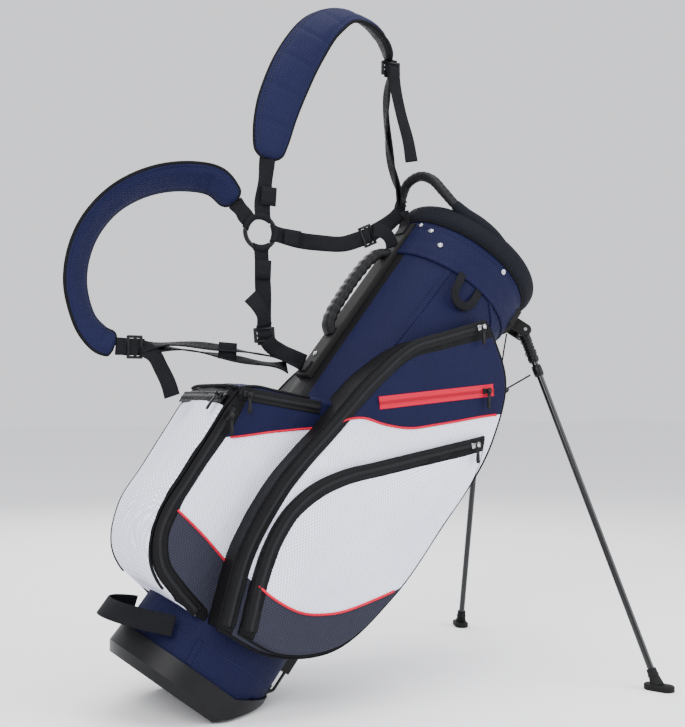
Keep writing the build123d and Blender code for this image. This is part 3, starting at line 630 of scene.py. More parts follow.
# Side pockets: an outer face, a gusset and a back that lies on the tube

longZip = [(34, 748), (-60, 632), (-86, 556), (-100, 448), (-114, 320), (-102, 214), (-62, 108)]
frontEdge = [(-62, 108), (30, 121), (110, 176), (152, 300), (160, 430), (156, 600), (118, 694), (34, 748)]
lowZip = [(134, 596), (-38, 404), (-70, 352), (-84, 300), (-80, 244), (-52, 160), (-34, 119)]
lowFront = [(-34, 119), (34, 128), (108, 182), (148, 302), (155, 430), (150, 560), (134, 596)]
upperPiping = millimetres([
    (-130, 420), (-98, 435), (-79, 466), (-60, 483), (-26, 497), (13, 519), (53, 557), (126, 631), (160, 662),
])
lowerPiping = millimetres([
    (-120, 190), (-73, 189), (-18, 186), (26, 194), (68, 220), (109, 264), (149, 318), (165, 340),
])
# Where the face's middle, its sewn edge, its cloth and its back lie, and how far it swells
sidePocket = {
    "middle": (0.020, 0.430), "edge": 0.1365, "face": 0.1455, "crown": 0.0016, "back": 0.080, "seat": 0.0015,
}
panelPocket = {"middle": (0.050, 0.345), "edge": 0.1455, "face": 0.1562, "crown": 0.0080, "back": 0.1440}
# Points along each edge, and how far the zip's black band runs in from it
pocketSteps = {"zip": 96, "front": 128, "band": 0.0225}


def straightThenFlow(points, count):
    # A zip edge: straight between its first two points and smooth after them
    points = millimetres(points)
    first = np.linspace(points[0], points[1], 6)[:-1]
    return evenly(np.vstack((first, points[1:])), count)


def pocketLoop(zipEdge, front):
    back = straightThenFlow(zipEdge, pocketSteps["zip"] + 1)[:-1]
    fore = evenly(millimetres(front), pocketSteps["front"] + 1)[:-1]
    return np.vstack((back, fore))


def aboveLine(v, line):
    return v[:, 2] - np.interp(v[:, 0], line[:, 0], line[:, 1])


def tubeReach(f, w):
    return math.sqrt(max(0.0, (tubeRadius(w) + 0.0005) ** 2 - f * f))


def pocketShell(name, loop, form, side, seed):
    arms = np.array(form["middle"]) - loop
    spans = np.linalg.norm(arms, axis=1)
    insets = [0.0008, 0.002, 0.0038, 0.006, 0.009, 0.013, 0.018, 0.024]

    def backReach(f, w):
        # Only a pocket with a seat lies on the tube
        return max(form["back"], tubeReach(f, w) - form["seat"]) if "seat" in form else form["back"]

    def faceReach(inset, f, w, k):
        rise = min(1.0, inset / 0.0075)
        rounding = math.sqrt(max(0.0, 1 - (1 - rise) ** 2))
        full = min(1.0, inset / 0.095)
        belly = form["crown"] * (full * full * (3 - 2 * full))
        # Gathers run in from the zip, and long soft folds cross the face
        zipSide = 2.4 if k < pocketSteps["zip"] else 0.8
        near = math.exp(-(((inset - 0.034) / 0.020) ** 2))
        gather = 0.0013 * zipSide * near * cloudy((k * 0.030, seed, 0.0), 6.0, seed)
        fold = 0.0022 * full * cloudy((f, w * 0.55, seed), 13.0, seed)
        fold += 0.0007 * full * cloudy((f, w, seed), 38.0, seed)
        return form["edge"] + (form["face"] - form["edge"]) * rounding + belly + (gather + fold) * rise

    def faceRow(insetOf):
        row = []
        for k, span in enumerate(spans):
            inset = insetOf(span)
            f, w = loop[k] + arms[k] / span * inset
            row.append((f, faceReach(inset, f, w, k), w))
        return row

    rows = []
    for share in np.linspace(0.94, 0.06, 16):
        rows.append([(f, backReach(f, w), w) for f, w in loop + arms * share])
    for depth in (0.0, 0.25, 0.5, 0.75, 1.0):
        # The gusset, from the back edge out to the face, a little slack between its seams
        sag = 0.0016 * math.sin(math.pi * depth)
        row = []
        for k, (f, w) in enumerate(loop):
            inner = backReach(f, w)
            slack = 1 + 0.8 * cloudy((k * 0.05, seed, 1.0), 5.0, seed)
            push = loop[k] + arms[k] / spans[k] * sag * slack
            row.append((push[0], inner + (form["edge"] - inner) * depth, push[1]))
        rows.append(row)
    rows += [faceRow(lambda span: inset) for inset in insets]
    for share in np.linspace(0.0, 0.97, 26)[1:]:
        rows.append(faceRow(lambda span: insets[-1] + (span - insets[-1]) * share))
    rows = [[(f, side * s, w) for f, s, w in row] for row in rows]
    edgeLine = loop[: pocketSteps["zip"] + 1]

    def zipBand(v):
        # Black tape from the gusset's edge to just inside the zip, on the zip's side of the pocket
        gap = np.min(np.linalg.norm(v[:, None, [0, 2]] - edgeLine[None], axis=2), axis=1)
        return pocketSteps["band"] - gap

    heights = {
        "zipZone": zipBand,
        "navyZone": lambda v: aboveLine(v, upperPiping),
        "greyZone": lambda v: -aboveLine(v, lowerPiping),
    }
    return gridPiece(name, rows, sideFabric, zoneOf=heights)


def planarUV(piece):
    # The cloth's threads run up the bag and across it
    layer = piece.data.uv_layers[0].data
    for polygon in piece.data.polygons:
        for corner in polygon.loop_indices:
            spot = toBag @ piece.data.vertices[piece.data.loops[corner].vertex_index].co
            layer[corner].uv = (spot.x + 0.6 * spot.y, spot.z)


longLoop = pocketLoop(longZip, frontEdge)
lowLoop = pocketLoop(lowZip, lowFront)
sideNear = pocketShell("sidePocketNear", longLoop, sidePocket, -1, 2.3)
sideFar = pocketShell("sidePocketFar", longLoop, sidePocket, 1, 7.9)
panelNear = pocketShell("panelPocket", lowLoop, panelPocket, -1, 5.1)
pocketNodes = {"side_pocket_near": sideNear, "side_pocket_far": sideFar, "panel_pocket": panelNear}
for node, piece in pocketNodes.items():
    planarUV(piece)
    wearsOn(piece, "bag", "navy_fabric", node)
farCloth = bagSurface(sideFar, bagTube)
nearTop = bagSurface(sideNear)
panelTop = bagSurface(panelNear)
print("side pockets")

# Ball pocket on the back, with a domed lid

# The corner radius, and how many points each stretch of a section takes
ball = {"half": 0.0985, "corner": 0.020, "flank": 40, "round": 9, "back": 34, "inner": 30}
ballBackEdge = millimetres([
    (-122, 107), (-160, 113), (-185, 126), (-203, 146), (-215, 170), (-222, 190), (-227, 255), (-233, 330),
    (-236, 385), (-234, 404), (-222, 420), (-185, 441), (-146, 461), (-112, 481), (-98, 490),
])


def ballSection(back, up, seed=4.4):
    half = ball["half"]
    root = -math.sqrt((tubeRadius(up) + 0.0002) ** 2 - half * half) + 0.002
    depth = max(0.004, root - back)
    corner = min(ball["corner"], depth * 0.7)
    half -= max(0.0, 0.010 - depth * 0.2)
    flank, rounded = np.linspace(0, 1, ball["flank"] + 1), np.linspace(0, math.pi / 2, ball["round"] + 1)

    def flankPoint(t, side, flankSeed):
        f = root + (back + corner - root) * t
        bulge = math.sin(math.pi * min(1, t * 1.4 + 0.1))
        soft = 0.0012 * cloudy((f, up, flankSeed), 16.0, seed) * bulge
        return (f, side * (half + soft), up)

    def cornerPoint(t, side):
        return (back + corner * (1 - math.sin(t)), side * (half - corner * (1 - math.cos(t))), up)

    path = [flankPoint(t, -1, seed) for t in flank[:-1]]
    path += [cornerPoint(t, -1) for t in rounded[:-1]]
    for t in np.linspace(-1, 1, ball["back"], endpoint=False):
        s = t * (half - corner)
        low = math.exp(-(((up - 0.17) / 0.07) ** 2))
        fold = (0.0010 + 0.0046 * low) * cloudy((s * 1.5, up * 0.45, 2.0), 34.0, 9.1)
        path.append((back - 0.0045 * (1 - t * t) + fold, s, up))
    path += [cornerPoint(t, 1) for t in rounded[:0:-1]]
    path += [flankPoint(t, 1, seed + 3) for t in flank[:0:-1]]
    for t in np.linspace(1, -1, ball["inner"], endpoint=False):
        s = t * half
        path.append((-math.sqrt((tubeRadius(up) - 0.001) ** 2 - s * s), s, up))
    return path


ballLine = evenly(ballBackEdge, 110)
flankPiping = millimetres([(-260, 300), (-204, 336), (-143, 393), (-78, 448), (-40, 470)])
flankLowPiping = millimetres([(-260, 214), (-188, 209), (-145, 204), (-92, 194), (-40, 186)])
lidEdge = millimetres([(-260, 404), (-244, 411), (-208, 430), (-146, 459), (-94, 490)])
ballZipLine = evenly(
    millimetres([(-222, 392), (-219, 372), (-209, 210), (-196, 165), (-166, 134), (-128, 122), (-78, 112)]),
    160,
)


def ballBand(v):
    # Black tape under the side zips, and across the top of the back panel
    gap = np.min(np.linalg.norm(v[:, None, [0, 2]] - ballZipLine[None], axis=2), axis=1)
    band = np.minimum(0.0125 - gap, np.abs(v[:, 1]) - 0.0870)
    topBack = (v[:, 2] > 0.375) & (v[:, 0] < -0.19) & (np.abs(v[:, 1]) < 0.0915)
    return np.where(topBack, 0.01, band)


ballRows = [ballSection(back, up) for back, up in ballLine]
ballZones = {
    "navyZone": lambda v: aboveLine(v, flankPiping),
    "greyZone": lambda v: -aboveLine(v, flankLowPiping),
    "backZone": lambda v: np.interp(v[:, 2], ballZipLine[::-1, 1], ballZipLine[::-1, 0]) - v[:, 0],
    "zipZone": ballBand,
    "lidZone": lambda v: np.where(v[:, 2] > 0.402, 0.010 + aboveLine(v, lidEdge), -1),
}
ballPocket = gridPiece("ballPocket", ballRows, ballFabric, zoneOf=ballZones)
planarUV(ballPocket)
wearsOn(ballPocket, "bag", "navy_fabric", "ball_pocket")
ballCloth = bagSurface(ballPocket)
print("ball pocket")

# Zips: a tape with turned edges and a coil down its middle

zipProfile = [
    (-0.0098, 0.0), (0.0098, 0.0), (0.0100, 0.0007), (0.0086, 0.0012), (0.0070, 0.0007),
    (0.0034, 0.0008), (0.0027, 0.0016), (0.0, 0.0020), (-0.0027, 0.0016), (-0.0034, 0.0008),
    (-0.0070, 0.0007), (-0.0086, 0.0012), (-0.0100, 0.0007),
]


def zipRibbon(name, path, normals, material, slotName, *nodes):
    rows = sweepRows(path, zipProfile, normals)
    ribbon = gridPiece(name, rows, material, across=[point[0] for point in zipProfile])
    return wearsOn(ribbon, "bag", slotName, *nodes)


def facing(side, count):
    return np.array([(0.0, side, 0.0)] * count)


def laidZip(tree, path, side, reach):
    # A zip lies on its cloth but never below the level its sliders run at
    line = drape(tree, path, side, 0.0003, reach)
    line[:, 1] = side * np.maximum(np.abs(line[:, 1]), reach)
    return line


longPath = [(31, 741.5), (-49, 636), (-74, 552), (-88, 446), (-101, 320), (-90, 220), (-52, 118)]
lowPath = [(131, 579), (-30, 397), (-59, 350), (-72, 300), (-68, 247), (-42, 170), (-24, 130)]
redPath = millimetres([(104, 666), (-52, 518)])
ballPath = [(-219, 379), (-209, 210), (-196, 165), (-166, 134), (-133, 123), (-84, 113)]
lidPath = millimetres([(-228, 400), (-108, 465)])
longRoute = straightThenFlow(longPath, 170)
lowRoute = straightThenFlow(lowPath, 150)
redRoute = np.linspace(redPath[0], redPath[1], 60)
ballRoute = straightThenFlow(ballPath, 90)
lidRoute = np.linspace(lidPath[0], lidPath[1], 50)
zipReach = {"side": 0.1456, "panel": 0.1565, "ball": 0.0985}
for name, tree, route, side, level, material, slotName, *nodes in (
    ("longZipNear", nearTop, longRoute, -1, "side", blackZip, "trim_black", "long_zip_tapes"),
    ("longZipFar", farCloth, longRoute, 1, "side", blackZip, "trim_black"),
    ("panelZip", panelTop, lowRoute, -1, "panel", blackZip, "trim_black", "panel_zip_tape"),
    ("redZip", nearTop, redRoute, -1, "side", redZip, "red_zip", "red_zip_tape"),
    ("ballZipNear", ballCloth, ballRoute, -1, "ball", blackZip, "trim_black", "ball_zip_tapes"),
    ("ballZipFar", ballCloth, ballRoute, 1, "ball", blackZip, "trim_black"),
    ("lidZip", ballCloth, lidRoute, -1, "ball", blackZip, "trim_black", "lid_zip_tape"),
):
    laid = laidZip(tree, route, side, zipReach[level])
    zipRibbon(name, laid, facing(side, len(route)), material, slotName, *nodes)
# The last zip crosses the back panel just below its lid
ballTop = np.array((-0.240, 0.396))
ballDrop = np.array((-0.230, 0.250)) - ballTop
ballDrop /= np.linalg.norm(ballDrop)
crossSpot = ballTop + ballDrop * 0.012
crossPath = np.array([(crossSpot[0], s, crossSpot[1]) for s in np.linspace(-0.092, 0.092, 60)])
crossNormals = np.array([(ballDrop[1], 0, -ballDrop[0])] * len(crossPath))
zipRibbon("ballZipBack", crossPath, crossNormals, blackZip, "trim_black")
print("zips")

# Pipings and bindings


def between(points, low, high):
    # The stretch of a line whose fore value lies between two limits
    line = evenly(points, 400)
    return evenly(line[(line[:, 0] >= low) & (line[:, 0] <= high)], 90)


def trim(name, path, radius, material, slotName="trim_black", closed=False):
    return wearsOn(piping(name, path, radius, material, closed=closed), "bag", slotName)


for name, tree, line, low, high, side, reach in (
    ("pipingUpperNear", nearTop, upperPiping, -0.086, 0.134, -1, 0.145),
    ("pipingUpperFar", farCloth, upperPiping, -0.086, 0.134, 1, 0.145),
    ("pipingLowerPanel", panelTop, lowerPiping, -0.054, 0.140, -1, 0.155),
    ("pipingLowerFar", farCloth, lowerPiping, -0.086, 0.144, 1, 0.145),
):
    path = drape(tree, between(line, low, high), side, 0.0004, reach)
    trim(name, path, 0.0019, redPiping, "red_zip")
for side, end in ((-1, "Near"), (1, "Far")):
    for lineName, line, high in (("Upper", flankPiping, -0.073), ("Lower", flankLowPiping, -0.072)):
        path = drape(ballCloth, between(line, -0.199, high), side, 0.0003, 0.099)
        trim("ballPiping" + lineName + end, path, 0.0018, redPiping, "red_zip")


def edgeBinding(name, loop, reach, radius=0.0030):
    # Bound edge of a pocket's face, all round but for the zip
    path = np.array([(f, reach, w) for f, w in loop[pocketSteps["zip"] :]])
    return trim(name, path, radius, blackTrim)


edgeBinding("bindingNear", longLoop, -0.1400)
edgeBinding("bindingFar", longLoop, 0.1400)
edgeBinding("bindingPanel", lowLoop, -0.1480, 0.0026)
zipWelt = np.array([(f, -0.1385, w) for f, w in longLoop[: pocketSteps["zip"] + 1]])
trim("zipWeltNear", zipWelt, 0.0018, blackTrim)
trim("zipWeltFar", zipWelt * (1, -1, 1), 0.0018, blackTrim)
for side, end in ((-1, "Near"), (1, "Far")):
    # Round the back corner of the ball pocket, where flank and back panel are sewn together
    corner = side * (ball["half"] - 0.0048)
    edge = np.array([(back + 0.0045, corner, up) for back, up in ballLine[6:-9]])
    trim("ballBinding" + end, edge, 0.0024, blackTrim)
lidRim = []
for s in np.linspace(-0.094, 0.094, 60):
    lidRim.append((-0.2395 + 0.006 * abs(s / 0.094) ** 4, s, 0.4060))
trim("lidBinding", np.array(lidRim), 0.0026, blackTrim)
print("pipings")

# Rim: a padded mesh roll with a bound seam, thicker at the front

rim = {"radius": 0.122, "middle": 0.87115, "half": 0.01765}
rimRows = []
for angle in fullTurn(220):
    thick = 0.0105 + 0.0022 * max(0, math.cos(angle + 0.55)) ** 0.6
    row = []
    for j, turn in enumerate(fullTurn(28)):
        puff = 1 + 0.035 * cloudy((math.cos(angle), math.sin(angle), j * 0.1), 5.0, 1.7)
        out = rim["radius"] + thick * squared(math.cos(turn), 0.85) * puff
        tall = squared(math.sin(turn), 0.9) * (0.985 + 0.015 * puff)
        row.append((out * math.cos(angle), out * math.sin(angle), rim["middle"] + rim["half"] * tall))
    rimRows.append(row)
rimRoll = gridPiece("rimRoll", rimRows, rimMesh, ringed=True)
wearsOn(rimRoll, "bag", "rim_mesh", "rim_pad")
rimTurns = np.radians(np.arange(0, 360, 1.5))
rimSeams = {"rimSeamOuter": (0.1250, 0.8545, 0.0024), "rimSeamInner": (0.1165, 0.8548, 0.0022)}
for trimName, (out, up, radius) in rimSeams.items():
    circle = np.array([(out * math.cos(t), out * math.sin(t), up) for t in rimTurns])
    trim(trimName, circle, radius, blackTrim, closed=True)

# Dividers: cloth walls hung from bound edges across the mouth

divider = {
    "offset": 0.036, "radius": 0.1133, "reach": 0.1120, "seam": 0.0016,
    "bottom": 0.112, "top": 0.849, "half": 0.0013, "roll": 0.0052,
}
offset, seam = divider["offset"], divider["seam"]
crossHalf = math.sqrt(divider["radius"] ** 2 - (offset + 0.0015) ** 2)
walls = [((f, -crossHalf), (f, crossHalf)) for f in (-offset, offset)]
walls += [((-divider["reach"], 0), (-offset - seam, 0)), ((offset + seam, 0), (divider["reach"], 0))]
walls += [((-offset + seam, s), (offset - seam, s)) for s in (-offset, offset)]
for number, (start, stop) in enumerate(walls):
    run = np.linspace(start, stop, 30)
    along = run[-1] - run[0]
    sideways = np.array((-along[1], along[0])) / np.linalg.norm(along)
    rows = []
    for up in np.linspace(divider["bottom"], divider["top"], 30):
        row = []
        for face, points in ((divider["half"], run), (-divider["half"], run[::-1])):
            for f, s in points:
                wave = 0.0012 * cloudy((f * 2, s * 2, up), 12.0, number) * min(1, (0.852 - up) * 8)
                row.append((f + sideways[0] * (face + wave), s + sideways[1] * (face + wave), up))
        rows.append(row)
    wall = gridPiece("dividerWall" + str(number), rows, dividerCloth)
    wearsOn(wall, "bag", "rim_mesh", "dividers")
    roll = np.array([(f, s, divider["top"] + 0.001) for f, s in run])
    trim("dividerRoll" + str(number), roll, divider["roll"], blackTrim, "rim_mesh")
print("rim and dividers")

# Lift handle: rubber grip with a mesh wrap at each foot

archRoute = millimetres([
    (-139, 34, 866), (-152, 32, 890), (-163, 22, 912), (-163, -6, 925),
    (-151, -34, 922), (-131, -56, 909), (-108, -74, 897), (-80, -94, 889),
])
archLine = flow(archRoute, 0.0025)
archCount = len(archLine)


def handleRows(line, sizes):
    return sweepRows(line, roundProfile(1, 20), carry(line), growth=sizes)


sizes = []
for k in range(archCount):
    groove = 0.0003 if (k // 2) % 2 else 0
    sizes.append(0.0074 + 0.0010 * math.sin(math.pi * k / archCount) + groove)
liftHandle = gridPiece("liftHandle", handleRows(archLine, sizes), gripRubber)
wearsOn(liftHandle, "bag", "rubber_black", "lift_handle")
# The near wrap runs on from the handle's foot, over the rim and down its side
rimRun = []
for turn, up in ((238, 0.8880), (252, 0.8840), (270, 0.8765)):
    rimRun.append((0.1235 * math.cos(math.radians(turn)), 0.1235 * math.sin(math.radians(turn)), up))
wrapLine = flow(np.vstack((archLine[archCount - 14 : archCount - 4], rimRun)), 0.0025)
for wrapName, line in (("liftWrapFar", archLine[:10]), ("liftWrapNear", wrapLine)):
    shares = np.arange(len(line)) / len(line)
    sizes = [0.0092 + 0.0010 * math.sin(math.pi * t) - 0.0012 * t**3 for t in shares]
    wearsOn(gridPiece(wrapName, handleRows(line, sizes), rimMesh), "bag", "rim_mesh")

# Spine grip: ribbed rubber on a plate

spineFace = -0.12885
gripRoute = millimetres([
    (-128, 604), (-139, 611), (-146, 630), (-149, 660), (-150, 716), (-147, 748), (-140, 768), (-128, 778),
])
gripLine = flow(gripRoute, 0.0020)
gripRows = []
for k, (x, up) in enumerate(gripLine):
    way = gripLine[min(k + 1, len(gripLine) - 1)] - gripLine[max(k - 1, 0)]
    way /= np.linalg.norm(way)
    ribbed = 0.12 < k / len(gripLine) < 0.88
    rib = 0.0016 * (0.5 + 0.5 * math.cos(k * 2 * math.pi / 7)) ** 0.6 if ribbed else 0.0006
    row = []
    for t in fullTurn(24):
        a = (0.0080 + rib) * squared(math.cos(t), 0.7)
        b = (0.0132 + rib * 0.6) * squared(math.sin(t), 0.7)
        row.append((x - way[1] * a, b, up + way[0] * a))
    gripRows.append(row)
spineGrip = gridPiece("spineGrip", gripRows, gripRubber)
wearsOn(spineGrip, "bag", "rubber_black", "spine_handle")


# Studs: domed metal rivets with a rolled edge


def latheRows(outline, sides=20):
    return [[(r * math.cos(t), r * math.sin(t), z) for t in fullTurn(sides)] for r, z in outline]


def stud(name, place):
    outline = [(0.4, 0.0028), (0.72, 0.0021), (0.88, 0.0011), (0.95, 0.0014), (1.03, 0.0012)]
    outline += [(1.06, 0.0003), (0.98, -0.0004)]
    rows = latheRows([(0.0042 * r, z) for r, z in outline], 28)
    return wearsOn(gridPiece(name, rows, brightMetal, place), "bag", "bright_metal")


def facingOut(point, out):
    # Frame at a point of the bag whose z faces out and whose x runs round the bag
    out = Vector(out).normalized()
    sideways = Vector((0, 0, 1)).cross(out).normalized()
    return toWorld @ axesAt(sideways, out.cross(sideways), out, Vector(point))


studPlaces = [(196, 0.845), (209, 0.837), (223, 0.817), (276, 0.844), (164, 0.845), (137, 0.817), (84, 0.844)]
for number, (turn, up) in enumerate(studPlaces):
    spot = tubePoint(turn, up, 0.0029)
    rivet = stud("stud" + str(number), facingOut(spot, (spot[0], spot[1], 0)))
    if number == 0:
        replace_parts(rivet, "rivets")
for number, up in enumerate((0.560, 0.806)):
    stud("spineStud" + str(number), facingOut((spineFace, 0, up), (-1, 0, 0)))


# Webbing loops and bands


def band(name, path, normals, width, thickness, place=toWorld):
    profile = flatProfile(width, thickness)
    rows = sweepRows(path, profile, normals)
    piece = gridPiece(name, rows, blackWebbing, place, across=[point[0] for point in profile])
    return wearsOn(piece, "bag", "trim_black")


towelPath = [(-0.0440, 0.790), (-0.0445, 0.780)]
for t in np.radians(np.linspace(180, 360, 40)):
    towelPath.append((-0.024 + 0.0198 * math.cos(t), 0.7640 + 0.0210 * math.sin(t)))
towelPath += [(-0.0035, 0.780), (-0.0040, 0.790)]
towelPath = flow([(f, -0.1258 + 0.0062 * max(0, (w - 0.770) / 0.020), w) for f, w in towelPath], 0.0018)
towel = band("towelLoop", towelPath, facing(-1, len(towelPath)), 0.0145, 0.0026)
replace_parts(towel, "towel_loop")
# The grab loop hangs from the boot, tilted up where it stands away from the bag
grabForm = {"middle": -0.074, "radius": 0.0925, "up": 0.066, "tilt": 0.45, "level": -0.125}
grabPath = []
for t in np.radians(np.linspace(105, 255, 90)):
    f = grabForm["middle"] + grabForm["radius"] * math.cos(t)
    s = grabForm["radius"] * math.sin(t)
    if math.hypot(f, s) > tubeRadius(0.063) - 0.001:
        grabPath.append((f, s, grabForm["up"] + grabForm["tilt"] * (f - grabForm["level"])))
grabNormals = outward([(f - grabForm["middle"], s, 0) for f, s, w in grabPath])
grab = band("grabLoop", np.array(grabPath), grabNormals, 0.030, 0.0024)
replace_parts(grab, "grab_loop")
print("handles and loops")

# Shoulder pads: foam between a navy face and a black mesh liner, bound round the edge

upperPad = [
    (131, 852, 44, 0), (136, 885, 60, 0), (146, 930, 68, 4), (164, 978, 70, 10), (193, 1035, 68, 22),
    (232, 1085, 65, 40), (280, 1108, 61, 58), (322, 1096, 59, 66), (350, 1066, 54, 70), (359, 1044, 42, 70),
]
lowerPad = [
    (72, 777, 36, 30), (40, 806, 48, 42), (0, 810, 54, 50), (-64, 797, 56, 52), (-124, 761, 56, 50),
    (-164, 706, 56, 46), (-178, 638, 54, 42), (-165, 584, 48, 36), (-143, 556, 42, 20), (-120, 547, 34, 0),
]


def padStations(route, spacing):
    # Even stations along a strap: place, half width and the two cross directions. The turn is
    # scaled down by 400, so that it doesn't count in the spacing
    line = flow([(x / 1000, z / 1000, w / 1000, turn / 400) for x, z, w, turn in route], spacing)
    points = np.array([(x, 0.0, z) for x, z, w, turn in line])
    ways = travel(points)
    stations = []
    for point, way, (x, z, w, turn) in zip(points, ways, line):
        flat = np.cross(way, (0, 1, 0))
        angle = math.radians(turn * 400)
        across = flat * math.cos(angle) + np.array((0, 1, 0)) * math.sin(angle)
        stations.append((point, w / 2, across, np.cross(way, across)))
    return stations


padForm = {"thickness": 0.0072, "seamEvery": 0.062, "spacing": 0.004, "seamAt": 0.80, "fill": 0.8}


def padShell(name, route, seed):
    thickness, seamEvery = padForm["thickness"], padForm["seamEvery"]
    stations = padStations(route, padForm["spacing"])
    rows, edges = [], ([], [])
    for k, (point, halfWidth, across, normal) in enumerate(stations):
        ending = min(1.0, (min(k, len(stations) - 1 - k) + 0.6) / 4.5)
        taper = math.sqrt(1 - (1 - ending) ** 2)
        along = (k * padForm["spacing"]) % seamEvery
        dimple = 0.0013 * math.exp(-((min(along, seamEvery - along) / 0.0045) ** 2))
        row = []
        for turn in fullTurn(44):
            a = halfWidth * taper * squared(math.cos(turn), 0.80)
            puff = squared(math.sin(turn), 0.62)
            sewn = 1 - 0.30 * math.exp(-(((abs(a) - halfWidth * padForm["seamAt"]) / 0.0030) ** 2))
            b = (thickness * taper - dimple) * puff * sewn
            b += 0.0009 * cloudy(point + across * a, 24.0, seed) * abs(puff)
            row.append(point + across * a + normal * b)
        rows.append(row)
        for sign, edge in zip((-1, 1), edges):
            edge.append(point + across * sign * (halfWidth * taper + 0.0002))
    # The liner is the face that looks against each station's normal
    inward = []
    for (point, halfWidth, across, normal), row in zip(stations, rows):
        inward += [(point - p) @ normal for p in row]
    # The two cap points count as outside the liner
    lining = {"linerZone": lambda v: np.array(inward + [-1, -1])}
    shell = gridPiece(name, rows, padFabric, groundFrame, zoneOf=lining)
    path = np.array(edges[0] + edges[1][::-1])
    apart = [k == 0 or np.linalg.norm(p - path[k - 1]) > 0.0008 for k, p in enumerate(path)]
    piping(name + "Binding", path[apart], 0.0026, blackTrim, groundFrame, closed=True)
    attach(shell, "bag")
    wearsOn(bpy.data.objects[name + "Binding"], "bag", "trim_black")
    sewnLine = []
    for point, halfWidth, across, normal in stations[4:-4]:
        sewnLine.append(point + across * halfWidth * padForm["seamAt"] + normal * thickness * 0.70)
    normals = np.array([station[3] for station in stations[4:-4]])
    stitches(name + "Stitches", sewnLine, normals, blackThread, groundFrame, 0.004, 0.002, 0.0005)
    return shell


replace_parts(padShell("shoulderPadUpper", upperPad, 1.4), "shoulder_pad_upper")
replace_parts(padShell("shoulderPadLower", lowerPad, 6.2), "shoulder_pad_lower")
print("shoulder pads")

# Harness webbing, ring and buckles

webs = {
    "webTop": (0, [(122, 757), (121, 770), (125, 806), (130, 852)]),
    "webPad": (0, [(97, 750), (86, 763), (74, 776)]),
    "webRight": (0, [(144, 731), (185, 724), (225, 722), (268, 723), (304, 735)]),
    "webRightEnd": (0, [(323, 745), (350, 760), (378, 783)]),
    "webDown": (0, [(119, 706), (123, 640), (125, 578)]),
    "webDownEnd": (-3, [(128, 560), (137, 550), (150, 543), (195, 525)]),
    "edgeOver": (3, [(359, 1043), (356, 976), (357, 907), (369, 835), (383, 793)]),
    "webLeft": (0, [(-97, 544), (-117, 545)]),
    "edgeLow": (0, [(-80, 545), (-16, 549), (50, 545), (110, 537), (190, 524)]),
    "edgeLowBack": (0, [(-80, 543), (-16, 541), (50, 532), (110, 523), (165, 516)]),
    "edgeOverBack": (1, [(357, 1040), (352, 976), (351, 912), (366, 850), (386, 800)]),
}
for name, (reach, points) in webs.items():
    line = flow([(x / 1000, reach / 1000, z / 1000) for x, z in points], 0.005)
    normals = []
    for t, way in zip(np.linspace(0, 1, len(line)), travel(line)):
        # Webbing never hangs dead flat: it cups and turns a little
        lean = 0.16 * math.sin(2.6 * t * math.pi + len(name))
        if name.startswith("edge"):
            # Turned edge on, with a half hearted twist at each end
            lean = 1.30 + 0.22 * math.sin(3.1 * t * math.pi + len(name)) - 0.9 * (2 * t - 1) ** 6
        flat = np.cross(way, (0, 1, 0))
        normals.append(np.array((0, -1, 0)) * math.cos(lean) + flat * math.sin(lean))
    line[:, 1] += 0.0012
    band(name, line, np.array(normals), 0.0265, 0.0024, groundFrame)
tails = {
    "tailTop": [(362, -3, 1030), (364, -7, 1000), (375, -9, 950), (390, -8, 905), (397, -7, 872)],
    "tailLeft": [(-74, -4, 541), (-62, -8, 533), (-50, -10, 512), (-38, -10, 488), (-32, -9, 470)],
    "tailDown": [(123, -6, 582), (117, -10, 600), (106, -12, 616), (95, -11, 628)],
    "tailRight": [(322, -5, 748), (336, -10, 748), (349, -12, 738), (356, -12, 722)],
}
for name, points in tails.items():
    line = flow(millimetres(points), 0.004)
    shares = np.linspace(0, 1, len(line))
    normals = np.array([(0.25 * math.sin(3 * t), -1, 0.15 * math.cos(4 * t)) for t in shares])
    band(name, line, normals, 0.0255, 0.0022, groundFrame)
# Where a web is folded back through the ring or a loop and bar tacked
folds = {
    "foldTop": (130, 790, 4),
    "foldRight": (172, 726, 95),
    "foldDown": (121, 672, 2),
    "foldLow": (60, 541, 93),
}
for name, (x, z, spin) in folds.items():
    centre = Vector((x / 1000, -0.0042, z / 1000))
    way = Vector((math.sin(math.radians(spin)), 0, math.cos(math.radians(spin))))
    line = np.array([centre + way * step for step in (-0.015, -0.005, 0.005, 0.015)])
    band(name, line, facing(-1, 4), 0.0262, 0.0024, groundFrame)

ring = {"centre": Vector((0.1175, 0, 0.732)), "radius": 0.026}
ringRows = []
for t in fullTurn(96):
    row = []
    for a in fullTurn(20):
        out = ring["radius"] + 0.0037 * math.cos(a)
        centre = ring["centre"]
        row.append((centre.x + out * math.cos(t), 0.0035 * math.sin(a), centre.z + out * math.sin(t)))
    ringRows.append(row)
harnessRing = gridPiece("harnessRing", ringRows, glossPlastic, groundFrame, ringed=True)
wearsOn(harnessRing, "bag", "black_plastic_gloss", "harness_ring")
for number, (x, z) in enumerate(((121, 758), (97, 749), (144, 731), (119, 706))):
    # Each web turns round the ring
    out = (Vector((x / 1000, 0, z / 1000)) - ring["centre"]).normalized()
    across = Vector((0, 1, 0)).cross(out)
    core = ring["centre"] + out * ring["radius"]
    rows = []
    for lean in np.linspace(-0.0128, 0.0128, 14):
        bend = ring["radius"] - math.sqrt(ring["radius"] ** 2 - lean * lean)
        middle = core + across * lean - out * bend
        row = []
        for a in fullTurn(28):
            row.append(tuple(middle + out * 0.0062 * math.cos(a) + Vector((0, 0.0060 * math.sin(a), 0))))
        rows.append(row)
    wearsOn(gridPiece("ringWrap" + str(number), rows, blackWebbing, groundFrame), "bag", "trim_black")


